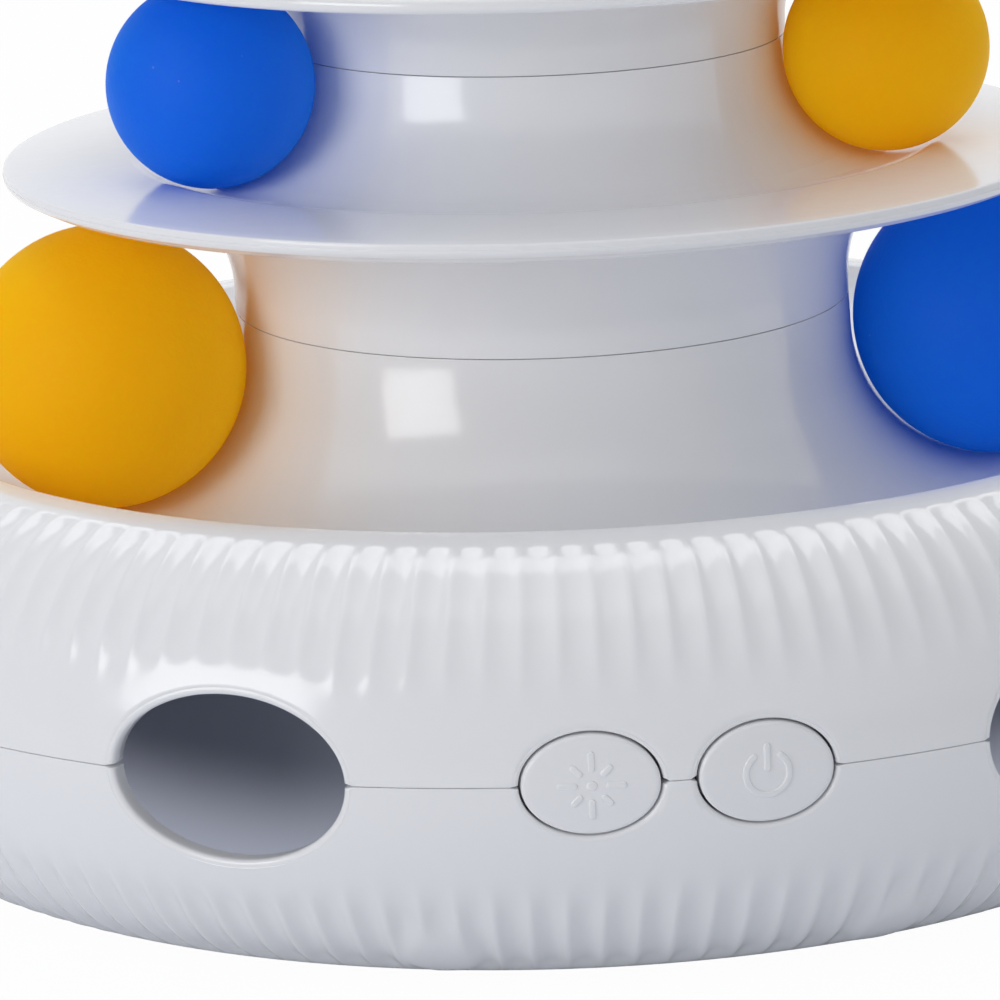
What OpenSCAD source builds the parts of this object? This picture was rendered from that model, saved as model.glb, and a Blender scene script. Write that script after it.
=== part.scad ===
// Cat ball track toy: a motor driven base with six paw holes, and two ball tracks stacked on it.
// Millimetres, +Z up, origin on the table under the middle of the toy, buttons facing -Y.

/* [Base shells] */
// Outer radius at the parting line
base_r = 115.6; // [114:0.2:118]
// Height of the parting line above the sole
base_drop = 32.1; // [31:0.1:34]
// Height of the rim crest above the parting line
base_rise = 28.4; // [27:0.1:30]
// How far the rim crest lies inside the outer radius
crest_in = 22.1; // [21:0.1:23.5]
// Rounding of the rim crest
crest_round = 2; // [1:0.1:2.6]
// How far the flat sole ends inside the outer radius
sole_in = 25.6; // [24:0.2:27]
// Wall of both base shells
shell_wall = 2.5; // [2:0.1:2.8]
// Bevel along each seam between pieces
seam_bevel = 0.3; // [0.1:0.05:0.5]
// Height of the locating lip above the parting line
lip_h = 2; // [1:0.1:3]
// Wall of the locating lip
lip_wall = 1.5; // [1:0.1:2]

/* [Ribs] */
// Number of ribs round the base
rib_count = 144; // [72:6:180]
// How far a rib stands out of the smooth wall
rib_proud = 0.35; // [0.2:0.05:0.8]

/* [Paw holes] */
// Number of paw holes
hole_count = 6; // [4:1:6]
// Width of a paw hole
hole_w = 31.8; // [26:0.2:34]
// Height of a paw hole
hole_h = 22.2; // [18:0.2:24]
// Width of the rounded edge of a paw hole
hole_lip = 1.4; // [0.6:0.1:2]
// Wall of the collar inside a paw hole
collar_wall = 1.6; // [1.2:0.1:2]
// Depth of the collar behind the outer face
collar_depth = 9; // [6:0.5:10]

/* [Buttons] */
// Width of a button
button_w = 18; // [15:0.2:19]
// Height of a button
button_h = 13.4; // [11:0.2:15]
// Distance between the two buttons
button_pitch = 23; // [22.6:0.1:25]
// Gap round a button
button_gap = 0.7; // [0.4:0.05:0.8]
// Width of the rounded edge round a button
button_lip = 0.4; // [0.2:0.05:0.6]
// Travel of a button
button_travel = 0.8; // [0.4:0.1:1]

/* [Lower ball track] */
// Depth of the lower track below the rim crest
track_drop = 12.85; // [11:0.1:14]
// How far the circle that the lower balls run on lies inside the rim crest
bank_w = 27.4; // [26.5:0.1:28]
// Radius of a lower ball
lower_ball_r = 20.5; // [20:0.1:20.8]
// Clearance between a ball and its track
ball_gap = 0.35; // [0.3:0.05:0.6]
// Place of the lower yellow ball, degrees from the front
lower_yellow_a = -81.35; // [-90:0.5:-75]
// Place of the lower blue ball, degrees from the front
lower_blue_a = 80.15; // [75:0.5:90]

/* [Upper ball track] */
// Height of the upper track above the lower seam
mid_lift = 21.75; // [20:0.1:23]
// How far the circle that the upper balls run on lies inside the lower one
track_step = 14.1; // [13.5:0.1:14.5]
// Radius of an upper ball
upper_ball_r = 14.8; // [14:0.1:15]
// Place of the upper blue ball, degrees from the front
upper_blue_a = -69.55; // [-80:0.5:-60]
// Place of the upper yellow ball, degrees from the front
upper_yellow_a = 68.15; // [60:0.5:80]

/* [Tiers] */
// Wall of the tiers
tier_wall = 2.2; // [1.8:0.1:2.6]
// Height of the lower seam above the lower ball centres
seam_low_up = 4.6; // [3:0.1:6]
// Height of the upper seam above the upper ball centres
seam_up_up = 1.5; // [1:0.1:2.5]
// How far the rim of the middle tier reaches beyond the circle of the lower balls
mid_over = 11.8; // [10:0.1:13]
// Thickness of the middle tier rim
mid_rim_t = 1.95; // [1.6:0.05:2.4]
// Height of the middle tier rim above its track
mid_rim_up = 1.15; // [0.8:0.05:1.6]
// How far the edge of the flange lies outside the circle of the upper balls
crease_out = 4; // [3.5:0.1:6]
// How far the rim of the top tier reaches beyond the circle of the upper balls
top_over = 13; // [11:0.1:15]
// Thickness of the top plate
top_plate_t = 1.7; // [1.5:0.05:2.2]
// How far the top tier rim hangs below its plate
top_lip = 0.55; // [0.3:0.05:0.9]
// Height of the spigots that join the tiers
spigot_h = 6; // [4:0.2:8]
// Wall of the spigots
spigot_wall = 2; // [1.6:0.1:2.4]
// Gap round the spigots
spigot_gap = 0.2; // [0.1:0.05:0.4]
// Height of the snap bead
bead = 0.5; // [0.3:0.05:0.6]

/* [Top cap] */
// How far the edge of the cap lies inside the circle of the upper balls
cap_in = 6; // [4:0.5:8]
// Rise of the dome
cap_rise = 10; // [7:0.5:14]
// Height of the straight edge of the cap
cap_edge = 0.8; // [0.5:0.1:1.5]

/* [Feet and screws] */
// How far the feet stand below the sole
foot_h = 1.5; // [1:0.1:2]
// Radius of a foot
foot_r = 6; // [5:0.1:7]
// How far the middle of a foot lies inside the edge of the sole
foot_in = 6.5; // [6.5:0.5:9]
// Depth of the seat of a foot
foot_seat = 1; // [0.6:0.1:1.4]
// How far the shell screws stand inside the outer radius
screw_in = 12.1; // [11.8:0.1:12.5]
// Radius of a screw shank
screw_r = 1.5; // [1.2:0.1:1.6]
// Length of a shell screw
screw_l = 34; // [28:1:38]
// Radius of a screw head
screw_head_r = 2.9; // [2.6:0.1:3]
// Height of a screw head
screw_head_h = 2; // [1.5:0.1:2.5]

/* [Carousel] */
// Room between the drum and the outer radius of the base
drum_room = 36.1; // [35.6:0.1:37.5]
// Wall of the drum, its web and its brim
drum_wall = 2; // [1.6:0.1:2.4]
// Height of the underside of the web above the sole
web_up = 40.5; // [39:0.1:41]
// Room between the brim and the outer radius of the base
brim_room = 19.6; // [18.6:0.1:21]
// Height of the underside of the brim above the sole
brim_up = 7; // [6.5:0.1:9]
// Radius of the axle
axle_r = 2; // [1.5:0.1:2.5]
// Running clearance on the axle
axle_fit = 0.08; // [0.05:0.01:0.1]
// Outer radius of the hub
hub_r = 6; // [5:0.1:7]
// Radius of the plush lure
lure_r = 9; // [7:0.1:9]
// Tooth module of the drive
gear_module = 1.2; // [1.1:0.05:1.25]
// Teeth of the carousel gear
gear_teeth = 60; // [54:3:60]
// Teeth of the drive pinion
pinion_teeth = 15; // [15:1:18]
// Width of the gear teeth
gear_w = 6; // [4:0.5:7]
// Backlash of the drive
backlash = 0.25; // [0.15:0.05:0.4]

/* [Electrics] */
// Radius of a battery cell
cell_r = 7.25; // [7:0.05:7.25]
// Length of a battery cell with its nub
cell_l = 50.5; // [49:0.5:51]
// Number of battery cells
cell_count = 3; // [2:1:3]
// Thickness of the circuit boards
pcb_t = 1.6; // [1:0.2:2]
// Width of the main board
main_w = 42; // [36:1:44]
// Depth of the main board
main_d = 40; // [34:1:42]
// Width of the button board
front_w = 44; // [42:0.5:45]
// Height of the button board
front_h = 17; // [15:0.5:18]

/* [Hidden] */

// overrun of every cut
over = 1;
$fn = 96;

// radii that follow from the outer radius
crest_r = base_r - crest_in;
sole_r = base_r - sole_in;
foot_at_r = sole_r - foot_in;
screw_at_r = base_r - screw_in;
drum_r = base_r - drum_room;
brim_r = base_r - brim_room;
lower_track_r = crest_r - bank_w;
upper_track_r = lower_track_r - track_step;
mid_rim_r = lower_track_r + mid_over;
crease_r = upper_track_r + crease_out;
top_rim_r = upper_track_r + top_over;
cap_r = upper_track_r - cap_in;

// heights above the table
part_z = foot_h + base_drop;
rim_z = part_z + base_rise;
floor_z = foot_h + shell_wall;
low_floor_z = rim_z - track_drop;
low_ball_z = low_floor_z + ball_gap + lower_ball_r;
seam_low_z = low_ball_z + seam_low_up;
mid_floor_z = seam_low_z + mid_lift;
up_ball_z = mid_floor_z + ball_gap + upper_ball_r;
seam_up_z = up_ball_z + seam_up_up;
top_under_z = up_ball_z + upper_ball_r + ball_gap;
top_z = top_under_z + top_plate_t;

// the track cross-sections: an arc that hugs the ball on the neck side, a wider bank outside
hug_low = lower_ball_r + ball_gap;
hug_up = upper_ball_r + ball_gap;
neck_taper = 0.2;
neck_low_r = lower_track_r - hug_low - neck_taper;
neck_up_r = upper_track_r - hug_up - neck_taper;
bank_h = track_drop - crest_round;
bank_r = (bank_w * bank_w + bank_h * bank_h - crest_round * crest_round) / (2 * track_drop);
bank_a = atan2(bank_w, bank_r - bank_h);
under_share = 0.92;
wall_top_a = 84;
mid_flare_r = 15;
mid_flare_up = 2.7;
mid_under_a = -109;
flange_share = 0.55;
crease_share = 0.3;
trough_share = 0.125;
top_flare_r = 11.7;
top_flare_up = 2.3;

// ends and fades of the ribs, as angles on the quarter ellipses of the outer wall
rib_up_a = [24, 76];
rib_low_a = [-24, -70];
rib_fade_share = 0.35;
rib_tip_share = 0.05;
rib_width_share = 0.5;
rib_root_r = sole_r - foot_r;
pad_share = 1.42;
ease_shares = [[1, 0.5], [0.5, 1]];
rib_steps = 3;
oval_n = 24;

// screws, bosses and posts
lip_gap = 0.4;
boss_r = 3.8;
boss_foot_r = 4.9;
boss_foot_h = 7;
screw_fit = 0.05;
screw_a = [-17, 17, -60, 60, -120, 120, 180];
head_up = 9.5;
head_z = foot_h + head_up;
foot_a = [17, 107, 197, 287];
foot_draft = 0.6;

// the spindle
post_r = 7;
post_up = 29.5;
post_top_z = foot_h + post_up;
washer_t = 0.8;
washer_r = 6.4;
clip_t = 0.8;
clip_r = 4.4;
clip_groove = 0.5;
hub_low_z = post_top_z + washer_t;
web_z = foot_h + web_up;
web_top_z = web_z + drum_wall;
hub_top_z = web_top_z + drum_wall;
brim_z = foot_h + brim_up;
axle_low_z = floor_z + screw_head_h;
clip_z = hub_top_z + washer_t;
axle_top_z = clip_z + clip_t + drum_wall;
gear_r = gear_module * gear_teeth / 2;
pinion_pitch_r = gear_module * pinion_teeth / 2;
drive_r = gear_r + pinion_pitch_r;
gear_rim = 4;
gear_gap = 1;
gear_z = web_z - gear_w - gear_gap;
lure_at_r = drum_r + gear_gap + lure_r;
lure_z = brim_z + drum_wall + lure_r + gear_gap;
stalk_r = 1.6;
lure_foot_w = 6;
lure_foot_t = 0.8;

// the gear motor
motor_w = 34;
motor_d = 26;
motor_h = 10;
motor_top_z = gear_z - gear_gap;
can_r = 7.6;
can_h = 18;
can_x = 6;
ear_w = 7;
ear_t = 2.4;
ear_r = 3.2;
shaft_fit = 0.3;

// the battery bay
bay_wall = 1.8;
spring_l = 4;
plate_t = 0.5;
cell_gap = 0.4;
bay_w = cell_l + spring_l + 2 * plate_t;
bay_d = cell_count * (2 * cell_r + cell_gap) + cell_gap;
bay_y = 39;
door_t = 1.5;
door_rim = 2;
door_tab = 9;
door_fit = 0.3;
cell_z = foot_h + door_t + cell_gap + cell_r;
bay_top_z = cell_z + cell_r + cell_gap;
nub_l = 1;
nub_r = 2.75;
plate_w = 10;
spring_wire = 0.4;
spring_turns = 3;
spring_steps = 12;
spring_top_share = 0.42;
spring_base_share = 0.72;

// the boards
main_x = -31;
main_y = -12;
main_post_h = 5;
main_z = floor_z + main_post_h;
board_post_r = 2.4;
board_inset = 4;
board_screw_l = 5;
switch_w = 6;
switch_t = 3.5;
plunger_r = 1.7;
plunger_out = 1;
plunger_in = 1;
plunger_fit = 0.15;
flange_t = 1;
flange_rim = 1.3;
stem_r = 3;
stem_l = 0.5;
button_proud = 0.2;
guide_wall = 1.2;
guide_depth = 6.6;
switch_face = base_r - guide_depth - flange_t - stem_l - plunger_out;
front_y = switch_face - switch_t - pcb_t;
front_z = part_z - front_h / 2;
rail_w = 3.5;
rail_d = 6;
rail_bite = 1;
ribbon_w = 5;
ribbon_t = 0.8;
ribbon_x = -13;
ribbon_gap = 0.3;
led_w = 3;
led_t = 1.2;
led_h = 2;

white = "whitesmoke";
dark = "dimgray";

// Points of an arc of an ellipse; skip leaves out the first ones
function arc(c, semi, a0, a1, n, skip = 0) = [
    for (i = [skip:n])
        let (a = a0 + (a1 - a0) * i / n)
        [c[0] + semi[0] * cos(a), c[1] + semi[1] * sin(a)]
];

module turned(points) {
    rotate_extrude() polygon(points);
}

// Turns what faces -Y to an azimuth, in degrees from the front towards +X
module facing(a) {
    rotate([0, 0, a]) children();
}

// An oval bar from one radius to another, facing -Y at the height of the parting line
module oval_bar(w, h, from, to) {
    translate([0, -from, part_z])
        rotate([90, 0, 0])
            linear_extrude(to - from)
                polygon(arc([0, 0], [w / 2, h / 2], 180 / oval_n, 360 - 180 / oval_n, oval_n - 1));
}

// The space inside the outer faces of the base, drawn in by an inset
module base_space(inset) {
    turned(concat(
        [[0, foot_h + inset]],
        arc([sole_r, part_z], [base_r - sole_r - inset, base_drop - inset], -90, 0, 9),
        arc([crest_r, part_z], [base_r - crest_r - inset, base_rise - inset], 0, 90, 9, 1),
        [[0, rim_z - inset]]
    ));
}

// The spaces below the upper shell and above the lower shell, to the middle of their walls
module upper_core() {
    half = shell_wall / 2;
    turned(concat(
        [[0, part_z]],
        arc([crest_r, part_z], [base_r - crest_r - half, base_rise - half], 0, wall_top_a, 8),
        arc(
            [lower_track_r, low_floor_z + bank_r], [bank_r + half, bank_r + half],
            bank_a * under_share - 90, -90, 8
        ),
        arc([lower_track_r, low_ball_z], [hug_low + half, hug_low + half], -90, -180, 12, 1),
        [[0, low_ball_z]]
    ));
}

module lower_core() {
    half = shell_wall / 2;
    turned(concat(
        [[0, foot_h + half]],
        arc([sole_r, part_z], [base_r - sole_r - half, base_drop - half], -90, 0, 8),
        [[0, part_z]]
    ));
}

// Height of a rib at the share u of its way up: a slow fade at the parting line, a short one at its tip
function rib_height(u) = min(1, u / rib_fade_share, (1 - u) / rib_tip_share) * rib_proud;

// Ribs along a part of a quarter ellipse: a star shaped prism in a turned band.
// Smooth pads stay round the paw holes and the buttons.
module ribs(c, semi, ends) {
    pitch = 360 / rib_count;
    half = pitch * rib_width_share / 2;
    reach = base_r + rib_proud + over;
    star = [
        for (i = [0:rib_count - 1], k = [[-1, 0], [-1, 1], [1, 1], [1, 0]])
            let (a = i * pitch + k[0] * half, r = k[1] == 1 ? reach : rib_root_r)
            [r * cos(a), r * sin(a)]
    ];
    crown = [
        for (i = [0:rib_steps])
            let (
                u = i / rib_steps, a = ends[0] + (ends[1] - ends[0]) * u, p = rib_height(u)
            )
            [c[0] + (semi[0] + p) * cos(a), c[1] + (semi[1] + p) * sin(a)]
    ];
    difference() {
        intersection() {
            turned(concat(
                crown, arc(c, semi - [1, 1] * shell_wall / 2, ends[1], ends[0], rib_steps)
            ));
            linear_extrude(rim_z + over) polygon(star);
        }
        hole_bars(hole_w * pad_share, hole_h * pad_share);
        button_bars(
            button_pitch + button_w * (pad_share - 1) / 2, button_w * pad_share, button_h * pad_share
        );
    }
}

module hole_bars(w, h) {
    for (i = [0:hole_count - 1])
        facing((i + 0.5) * 360 / hole_count)
            oval_bar(w, h, base_r - collar_depth - over, base_r + over);
}

module button_bars(pitch, w, h) {
    for (s = [-1, 1])
        translate([s * pitch / 2, 0, 0])
            oval_bar(w, h, base_r - collar_depth - over, base_r + over);
}

// What both shells lose at the paw holes and buttons: the openings and their eased edges
module openings() {
    hole_bars(hole_w, hole_h);
    button_bars(button_pitch, button_w + 2 * button_gap, button_h + 2 * button_gap);
    for (e = ease_shares)
        difference() {
            hole_bars(hole_w + 2 * hole_lip * e[0], hole_h + 2 * hole_lip * e[0]);
            base_space(hole_lip * e[1]);
        }
    edge = 2 * (button_gap + button_lip);
    difference() {
        button_bars(button_pitch, button_w + edge, button_h + edge);
        base_space(button_lip);
    }
}

// Oval collars that stiffen the paw holes, and the guides of the buttons
module collars() {
    grow = 2 * collar_wall;
    intersection() {
        union() {
            for (i = [0:hole_count - 1])
                facing((i + 0.5) * 360 / hole_count)
                    oval_bar(hole_w + grow, hole_h + grow, base_r - collar_depth, base_r + over);
            guide = 2 * (button_gap + guide_wall);
            for (s = [-1, 1])
                translate([s * button_pitch / 2, 0, 0])
                    oval_bar(button_w + guide, button_h + guide, base_r - guide_depth, base_r + over);
        }
        children();
    }
}

module boss_places() {
    for (a = screw_a) facing(a) translate([0, -screw_at_r, 0]) children();
}

// Screw bosses of the upper shell, with their blind holes
module upper_bosses() {
    intersection() {
        boss_places() translate([0, 0, part_z]) cylinder(h = base_rise, r = boss_r);
        upper_core();
    }
}

// The reduced end of a neck that the next tier snaps over, up the outside and down the inside
function spigot(neck_r, z) =
    let (out = neck_r - tier_wall - spigot_gap, mid = z + spigot_h / 2)
    [
        [neck_r, z - seam_bevel], [neck_r - seam_bevel, z], [out, z],
        [out, mid - bead], [out + bead, mid], [out, mid + bead],
        [out, z + spigot_h], [out - spigot_wall, z + spigot_h],
        [out - spigot_wall, z - spigot_wall]
    ];

// The mouth of a skirt with its snap groove, from the inside down to the outside
function skirt_mouth(neck_r, z) =
    let (in = neck_r - tier_wall, mid = z + spigot_h / 2)
    [
        [in, z + spigot_h + spigot_wall], [in, mid + bead + spigot_gap], [in + bead, mid],
        [in, mid - bead - spigot_gap], [in, z], [neck_r - seam_bevel, z], [neck_r, z + seam_bevel]
    ];

module base_upper_shell() {
    outer = [base_r - crest_r, base_rise];
    color(white) difference() {
        union() {
            turned(concat(
                [[base_r - seam_bevel, part_z]],
                arc([crest_r, part_z], outer, asin(seam_bevel / base_rise), 90, 10),
                arc(
                    [crest_r, rim_z - crest_round], [crest_round, crest_round],
                    90, 90 + bank_a, 5, 1
                ),
                arc(
                    [lower_track_r, low_floor_z + bank_r], [bank_r, bank_r],
                    bank_a - 90, -90, 8, 1
                ),
                arc([lower_track_r, low_ball_z], [hug_low, hug_low], -90, -180, 14, 1),
                spigot(neck_low_r, seam_low_z),
                arc(
                    [lower_track_r, low_ball_z], [hug_low, hug_low] + [1, 1] * shell_wall,
                    -180, -90, 12
                ),
                arc(
                    [lower_track_r, low_floor_z + bank_r], [bank_r, bank_r] + [1, 1] * shell_wall,
                    -90, bank_a * under_share - 90, 8, 1
                ),
                arc([crest_r, part_z], outer - [1, 1] * shell_wall, wall_top_a, 0, 8)
            ));
            ribs([crest_r, part_z], outer, rib_up_a);
            upper_bosses();
            collars() upper_core();
        }
        openings();
        boss_places()
            translate([0, 0, part_z - over])
                cylinder(h = head_z + screw_l - part_z + 2 * over, r = screw_r + screw_fit);
    }
}

module middle_tier() {
    flare_low_z = seam_low_z + mid_flare_up;
    under_z = mid_floor_z - tier_wall;
    half = mid_rim_t / 2;
    rim_c = [mid_rim_r - half, mid_floor_z + mid_rim_up - half];
    color(white) turned(concat(
        skirt_mouth(neck_low_r, seam_low_z),
        arc(
            [neck_low_r + mid_flare_r, flare_low_z], [mid_flare_r, under_z - flare_low_z], 180, 90, 12
        ),
        arc(rim_c, [half, half], -90, 90, 8),
        [
            [crease_r + mid_rim_up, mid_floor_z + mid_rim_up * flange_share],
            [crease_r, mid_floor_z + mid_rim_up * crease_share],
            [(crease_r + upper_track_r) / 2, mid_floor_z + mid_rim_up * trough_share]
        ],
        arc([upper_track_r, up_ball_z], [hug_up, hug_up], -90, -180, 14),
        spigot(neck_up_r, seam_up_z),
        arc([upper_track_r, up_ball_z], [hug_up, hug_up] + [1, 1] * tier_wall, -180, mid_under_a, 10)
    ));
}

module top_tier() {
    flare_low_z = seam_up_z + top_flare_up;
    half = (top_plate_t + top_lip) / 2;
    rim_c = [top_rim_r - half, top_z - half];
    in = neck_up_r - tier_wall;
    color(white) turned(concat(
        skirt_mouth(neck_up_r, seam_up_z),
        arc(
            [neck_up_r + top_flare_r, flare_low_z], [top_flare_r, top_under_z - flare_low_z],
            180, 90, 10
        ),
        [[top_rim_r - 2 * half - top_lip, top_under_z]],
        arc(rim_c, [half, half], -90, 90, 8),
        [[in, top_z]]
    ));
}

module top_cap() {
    out = neck_up_r - tier_wall - spigot_gap;
    in = out - spigot_wall;
    dome = [cap_r - tier_wall, cap_rise - tier_wall];
    color(white) turned(concat(
        [[0, top_z + cap_edge + cap_rise - tier_wall]],
        arc([0, top_z + cap_edge], [cap_r, cap_rise], 90, 0, 16),
        [[cap_r, top_z], [out, top_z], [out, top_z - spigot_h], [in, top_z - spigot_h]],
        arc([0, top_z + cap_edge], dome, acos(in / dome[0]), 90, 12)
    ));
}

// A rectangular block standing on z, centred on x and y
module block(x, y, z, w, d, h) {
    translate([x - w / 2, y - d / 2, z]) cube([w, d, h]);
}

module main_post_places() {
    for (sx = [-1, 1], sy = [-1, 1])
        translate([
            main_x + sx * (main_w / 2 - board_inset), main_y + sy * (main_d / 2 - board_inset), 0
        ]) children();
}

module ear_places() {
    for (s = [-1, 1])
        translate([s * (motor_w + ear_w) / 2, -drive_r, 0]) children();
}

// The moulded lower half: sole, outer wall, lip, bosses, spindle post, battery bay and posts
module base_lower_shell() {
    ear_z = motor_top_z - motor_h;
    color(white) difference() {
        union() {
            turned(concat(
                [[0, floor_z], [0, foot_h]],
                arc(
                    [sole_r, part_z], [base_r - sole_r, base_drop],
                    -90, -asin(seam_bevel / base_drop), 10
                ),
                [[base_r - seam_bevel, part_z], [base_r - shell_wall, part_z]],
                arc(
                    [sole_r, part_z], [base_r - sole_r, base_drop] - [1, 1] * shell_wall,
                    0, -90, 8, 1
                )
            ));
            lip();
            intersection() {
                boss_places() union() {
                    cylinder(h = part_z, r = boss_r);
                    cylinder(h = head_z + boss_foot_h - screw_head_h, r = boss_foot_r);
                }
                lower_core();
            }
            ribs([sole_r, part_z], [base_r - sole_r, base_drop], rib_low_a);
            collars() lower_core();
            translate([0, 0, foot_h + shell_wall / 2])
                cylinder(h = post_top_z - foot_h - shell_wall / 2, r = post_r);
            bay_grow = 2 * bay_wall;
            block(
                0, bay_y, floor_z - shell_wall / 2,
                bay_w + bay_grow, bay_d + bay_grow, bay_top_z + bay_wall - floor_z + shell_wall / 2
            );
            main_post_places()
                translate([0, 0, floor_z - shell_wall / 2])
                    cylinder(h = main_post_h + shell_wall / 2, r = board_post_r);
            ear_places()
                translate([0, 0, floor_z - shell_wall / 2])
                    cylinder(h = ear_z - floor_z + shell_wall / 2, r = ear_r);
            front_rails();
            door_screw_place()
                translate([0, 0, floor_z - shell_wall / 2])
                    cylinder(h = main_post_h + shell_wall / 2, r = boss_r);
        }
        openings();
        boss_places() {
            translate([0, 0, -over]) cylinder(h = part_z + 2 * over, r = screw_r + screw_fit);
            translate([0, 0, -over]) cylinder(h = head_z + over, r = screw_head_r + screw_fit);
        }
        translate([0, 0, axle_low_z]) cylinder(h = part_z, r = axle_r);
        block(0, bay_y, foot_h - over, bay_w, bay_d, bay_top_z - foot_h + over);
        door_outline(door_fit, foot_h - over, door_t + over);
        door_screw_place()
            translate([0, 0, foot_h - over])
                cylinder(h = main_post_h + shell_wall, r = screw_r + screw_fit);
        main_post_places()
            translate([0, 0, main_z - board_screw_l])
                cylinder(h = board_screw_l + over, r = screw_r + screw_fit);
        ear_places()
            translate([0, 0, ear_z - board_screw_l])
                cylinder(h = board_screw_l + over, r = screw_r + screw_fit);
        foot_places() translate([0, 0, foot_h - over]) cylinder(h = foot_seat + over, r = foot_r);
    }
}

// The lip that locates the upper shell, cut away at the openings
module lip() {
    out = base_r - shell_wall - lip_gap;
    mid = base_r - shell_wall / 2;
    low = part_z - 2 * lip_h;
    grow = 2 * (collar_wall + spigot_gap);
    difference() {
        turned([
            [out - lip_wall, low], [mid, low], [mid, part_z], [out, part_z],
            [out, part_z + lip_h], [out - lip_wall, part_z + lip_h]
        ]);
        hole_bars(hole_w + grow, hole_h + grow);
        button_bars(
            button_pitch, button_w + 2 * (button_gap + guide_wall + spigot_gap),
            button_h + 2 * (button_gap + guide_wall + spigot_gap)
        );
    }
}

// Two slotted rails that hold the button board
module front_rails() {
    slot_y = -front_y - pcb_t / 2;
    difference() {
        intersection() {
            for (s = [-1, 1])
                block(
                    s * (front_w / 2 + rail_w / 2 - rail_bite), slot_y, 0,
                    rail_w, rail_d, part_z - lip_h
                );
            lower_core();
        }
        block(0, slot_y, front_z, front_w, pcb_t, part_z);
    }
}

module door_screw_place() {
    translate([0, bay_y + bay_d / 2 + bay_wall + door_tab / 2, 0]) children();
}

module door_outline(fit, z, h) {
    w = bay_w + 2 * (door_rim + fit);
    d = bay_d + 2 * (door_rim + fit);
    tab_w = 2 * door_tab;
    tab_end = bay_y + bay_d / 2 + bay_wall + door_tab;
    block(0, bay_y, z, w, d, h);
    block(0, (bay_y + tab_end + fit) / 2, z, tab_w + 2 * fit, tab_end + fit - bay_y, h);
}

module battery_door() {
    color(white) difference() {
        door_outline(0, foot_h, door_t);
        door_screw_place()
            translate([0, 0, foot_h - over]) cylinder(h = door_t + 2 * over, r = screw_r + screw_fit);
    }
}

module battery_door_screw() {
    color("silver") door_screw_place() {
        translate([0, 0, foot_h]) cylinder(h = main_post_h, r = screw_r);
        translate([0, 0, foot_h - foot_seat]) cylinder(h = foot_seat, r = screw_head_r);
    }
}

module foot_places() {
    for (a = foot_a) facing(a) translate([0, -foot_at_r, 0]) children();
}

module rubber_feet() {
    color("gray") foot_places() {
        cylinder(h = foot_h, r1 = foot_r - foot_draft, r2 = foot_r);
        translate([0, 0, foot_h]) cylinder(h = foot_seat, r = foot_r);
    }
}

module shell_screws() {
    color("silver") boss_places() {
        translate([0, 0, head_z]) cylinder(h = screw_l, r = screw_r);
        translate([0, 0, head_z - screw_head_h]) cylinder(h = screw_head_h, r = screw_head_r);
    }
}

// Places of the cells, turned end for end in turn
module cell_places() {
    for (i = [0:cell_count - 1])
        translate([0, bay_y + (i - (cell_count - 1) / 2) * (2 * cell_r + cell_gap), cell_z])
            rotate([0, 0, i % 2 == 0 ? 0 : 180]) children();
}

module battery_cells() {
    color("darkolivegreen") cell_places()
        translate([-bay_w / 2 + plate_t + spring_l, 0, 0]) rotate([0, 90, 0]) {
            cylinder(h = cell_l - nub_l, r = cell_r);
            cylinder(h = cell_l, r = nub_r);
        }
}

// A closed tube along a list of points, as one polyhedron
function unit(v) = v / norm(v);
function heading(p, i) = unit(p[min(i + 1, len(p) - 1)] - p[max(i - 1, 0)]);
module tube(p, r, sides, up = [0, 0, 1]) {
    n = len(p);
    rings = [
        for (i = [0:n - 1])
            let (t = heading(p, i), a = unit(cross(t, up)), b = cross(a, t))
            for (k = [0:sides - 1])
                p[i] + r * (cos(k * 360 / sides) * a + sin(k * 360 / sides) * b)
    ];
    walls = [
        for (i = [0:n - 2], k = [0:sides - 1])
            let (m = (k + 1) % sides, q = i * sides)
            for (f = [[q + k, q + m, q + sides + k], [q + m, q + sides + m, q + sides + k]]) f
    ];
    caps = [
        for (k = [1:sides - 2])
            for (f = [[0, k + 1, k], [(n - 1) * sides, (n - 1) * sides + k, (n - 1) * sides + k + 1]]) f
    ];
    polyhedron(rings, concat(walls, caps));
}

// Conical contact springs between the end plates and the cells
module battery_springs() {
    steps = spring_steps * spring_turns;
    run = spring_l - 2 * spring_wire;
    color("silver") cell_places()
        translate([-bay_w / 2 + plate_t + spring_wire, 0, 0])
            tube([
                for (i = [0:steps])
                    let (
                        u = i / steps, a = 360 * i / spring_steps,
                        r = cell_r * (spring_base_share + (spring_top_share - spring_base_share) * u)
                    )
                    [run * u, r * cos(a), r * sin(a)]
            ], spring_wire, 6, [1, 0, 0]);
}

// Sheet contacts at both ends of each cell
module contact_plates() {
    color("silver") cell_places() {
        translate([-bay_w / 2, -plate_w / 2, -plate_w / 2]) cube([plate_t, plate_w, plate_w]);
        translate([bay_w / 2 - plate_t, -plate_w / 2, -plate_w / 2])
            cube([plate_t, plate_w, plate_w]);
    }
}

module main_circuit_board() {
    color("darkgreen") difference() {
        block(main_x, main_y, main_z, main_w, main_d, pcb_t);
        main_post_places()
            translate([0, 0, main_z - over]) cylinder(h = pcb_t + 2 * over, r = screw_r + screw_fit);
    }
}

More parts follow.
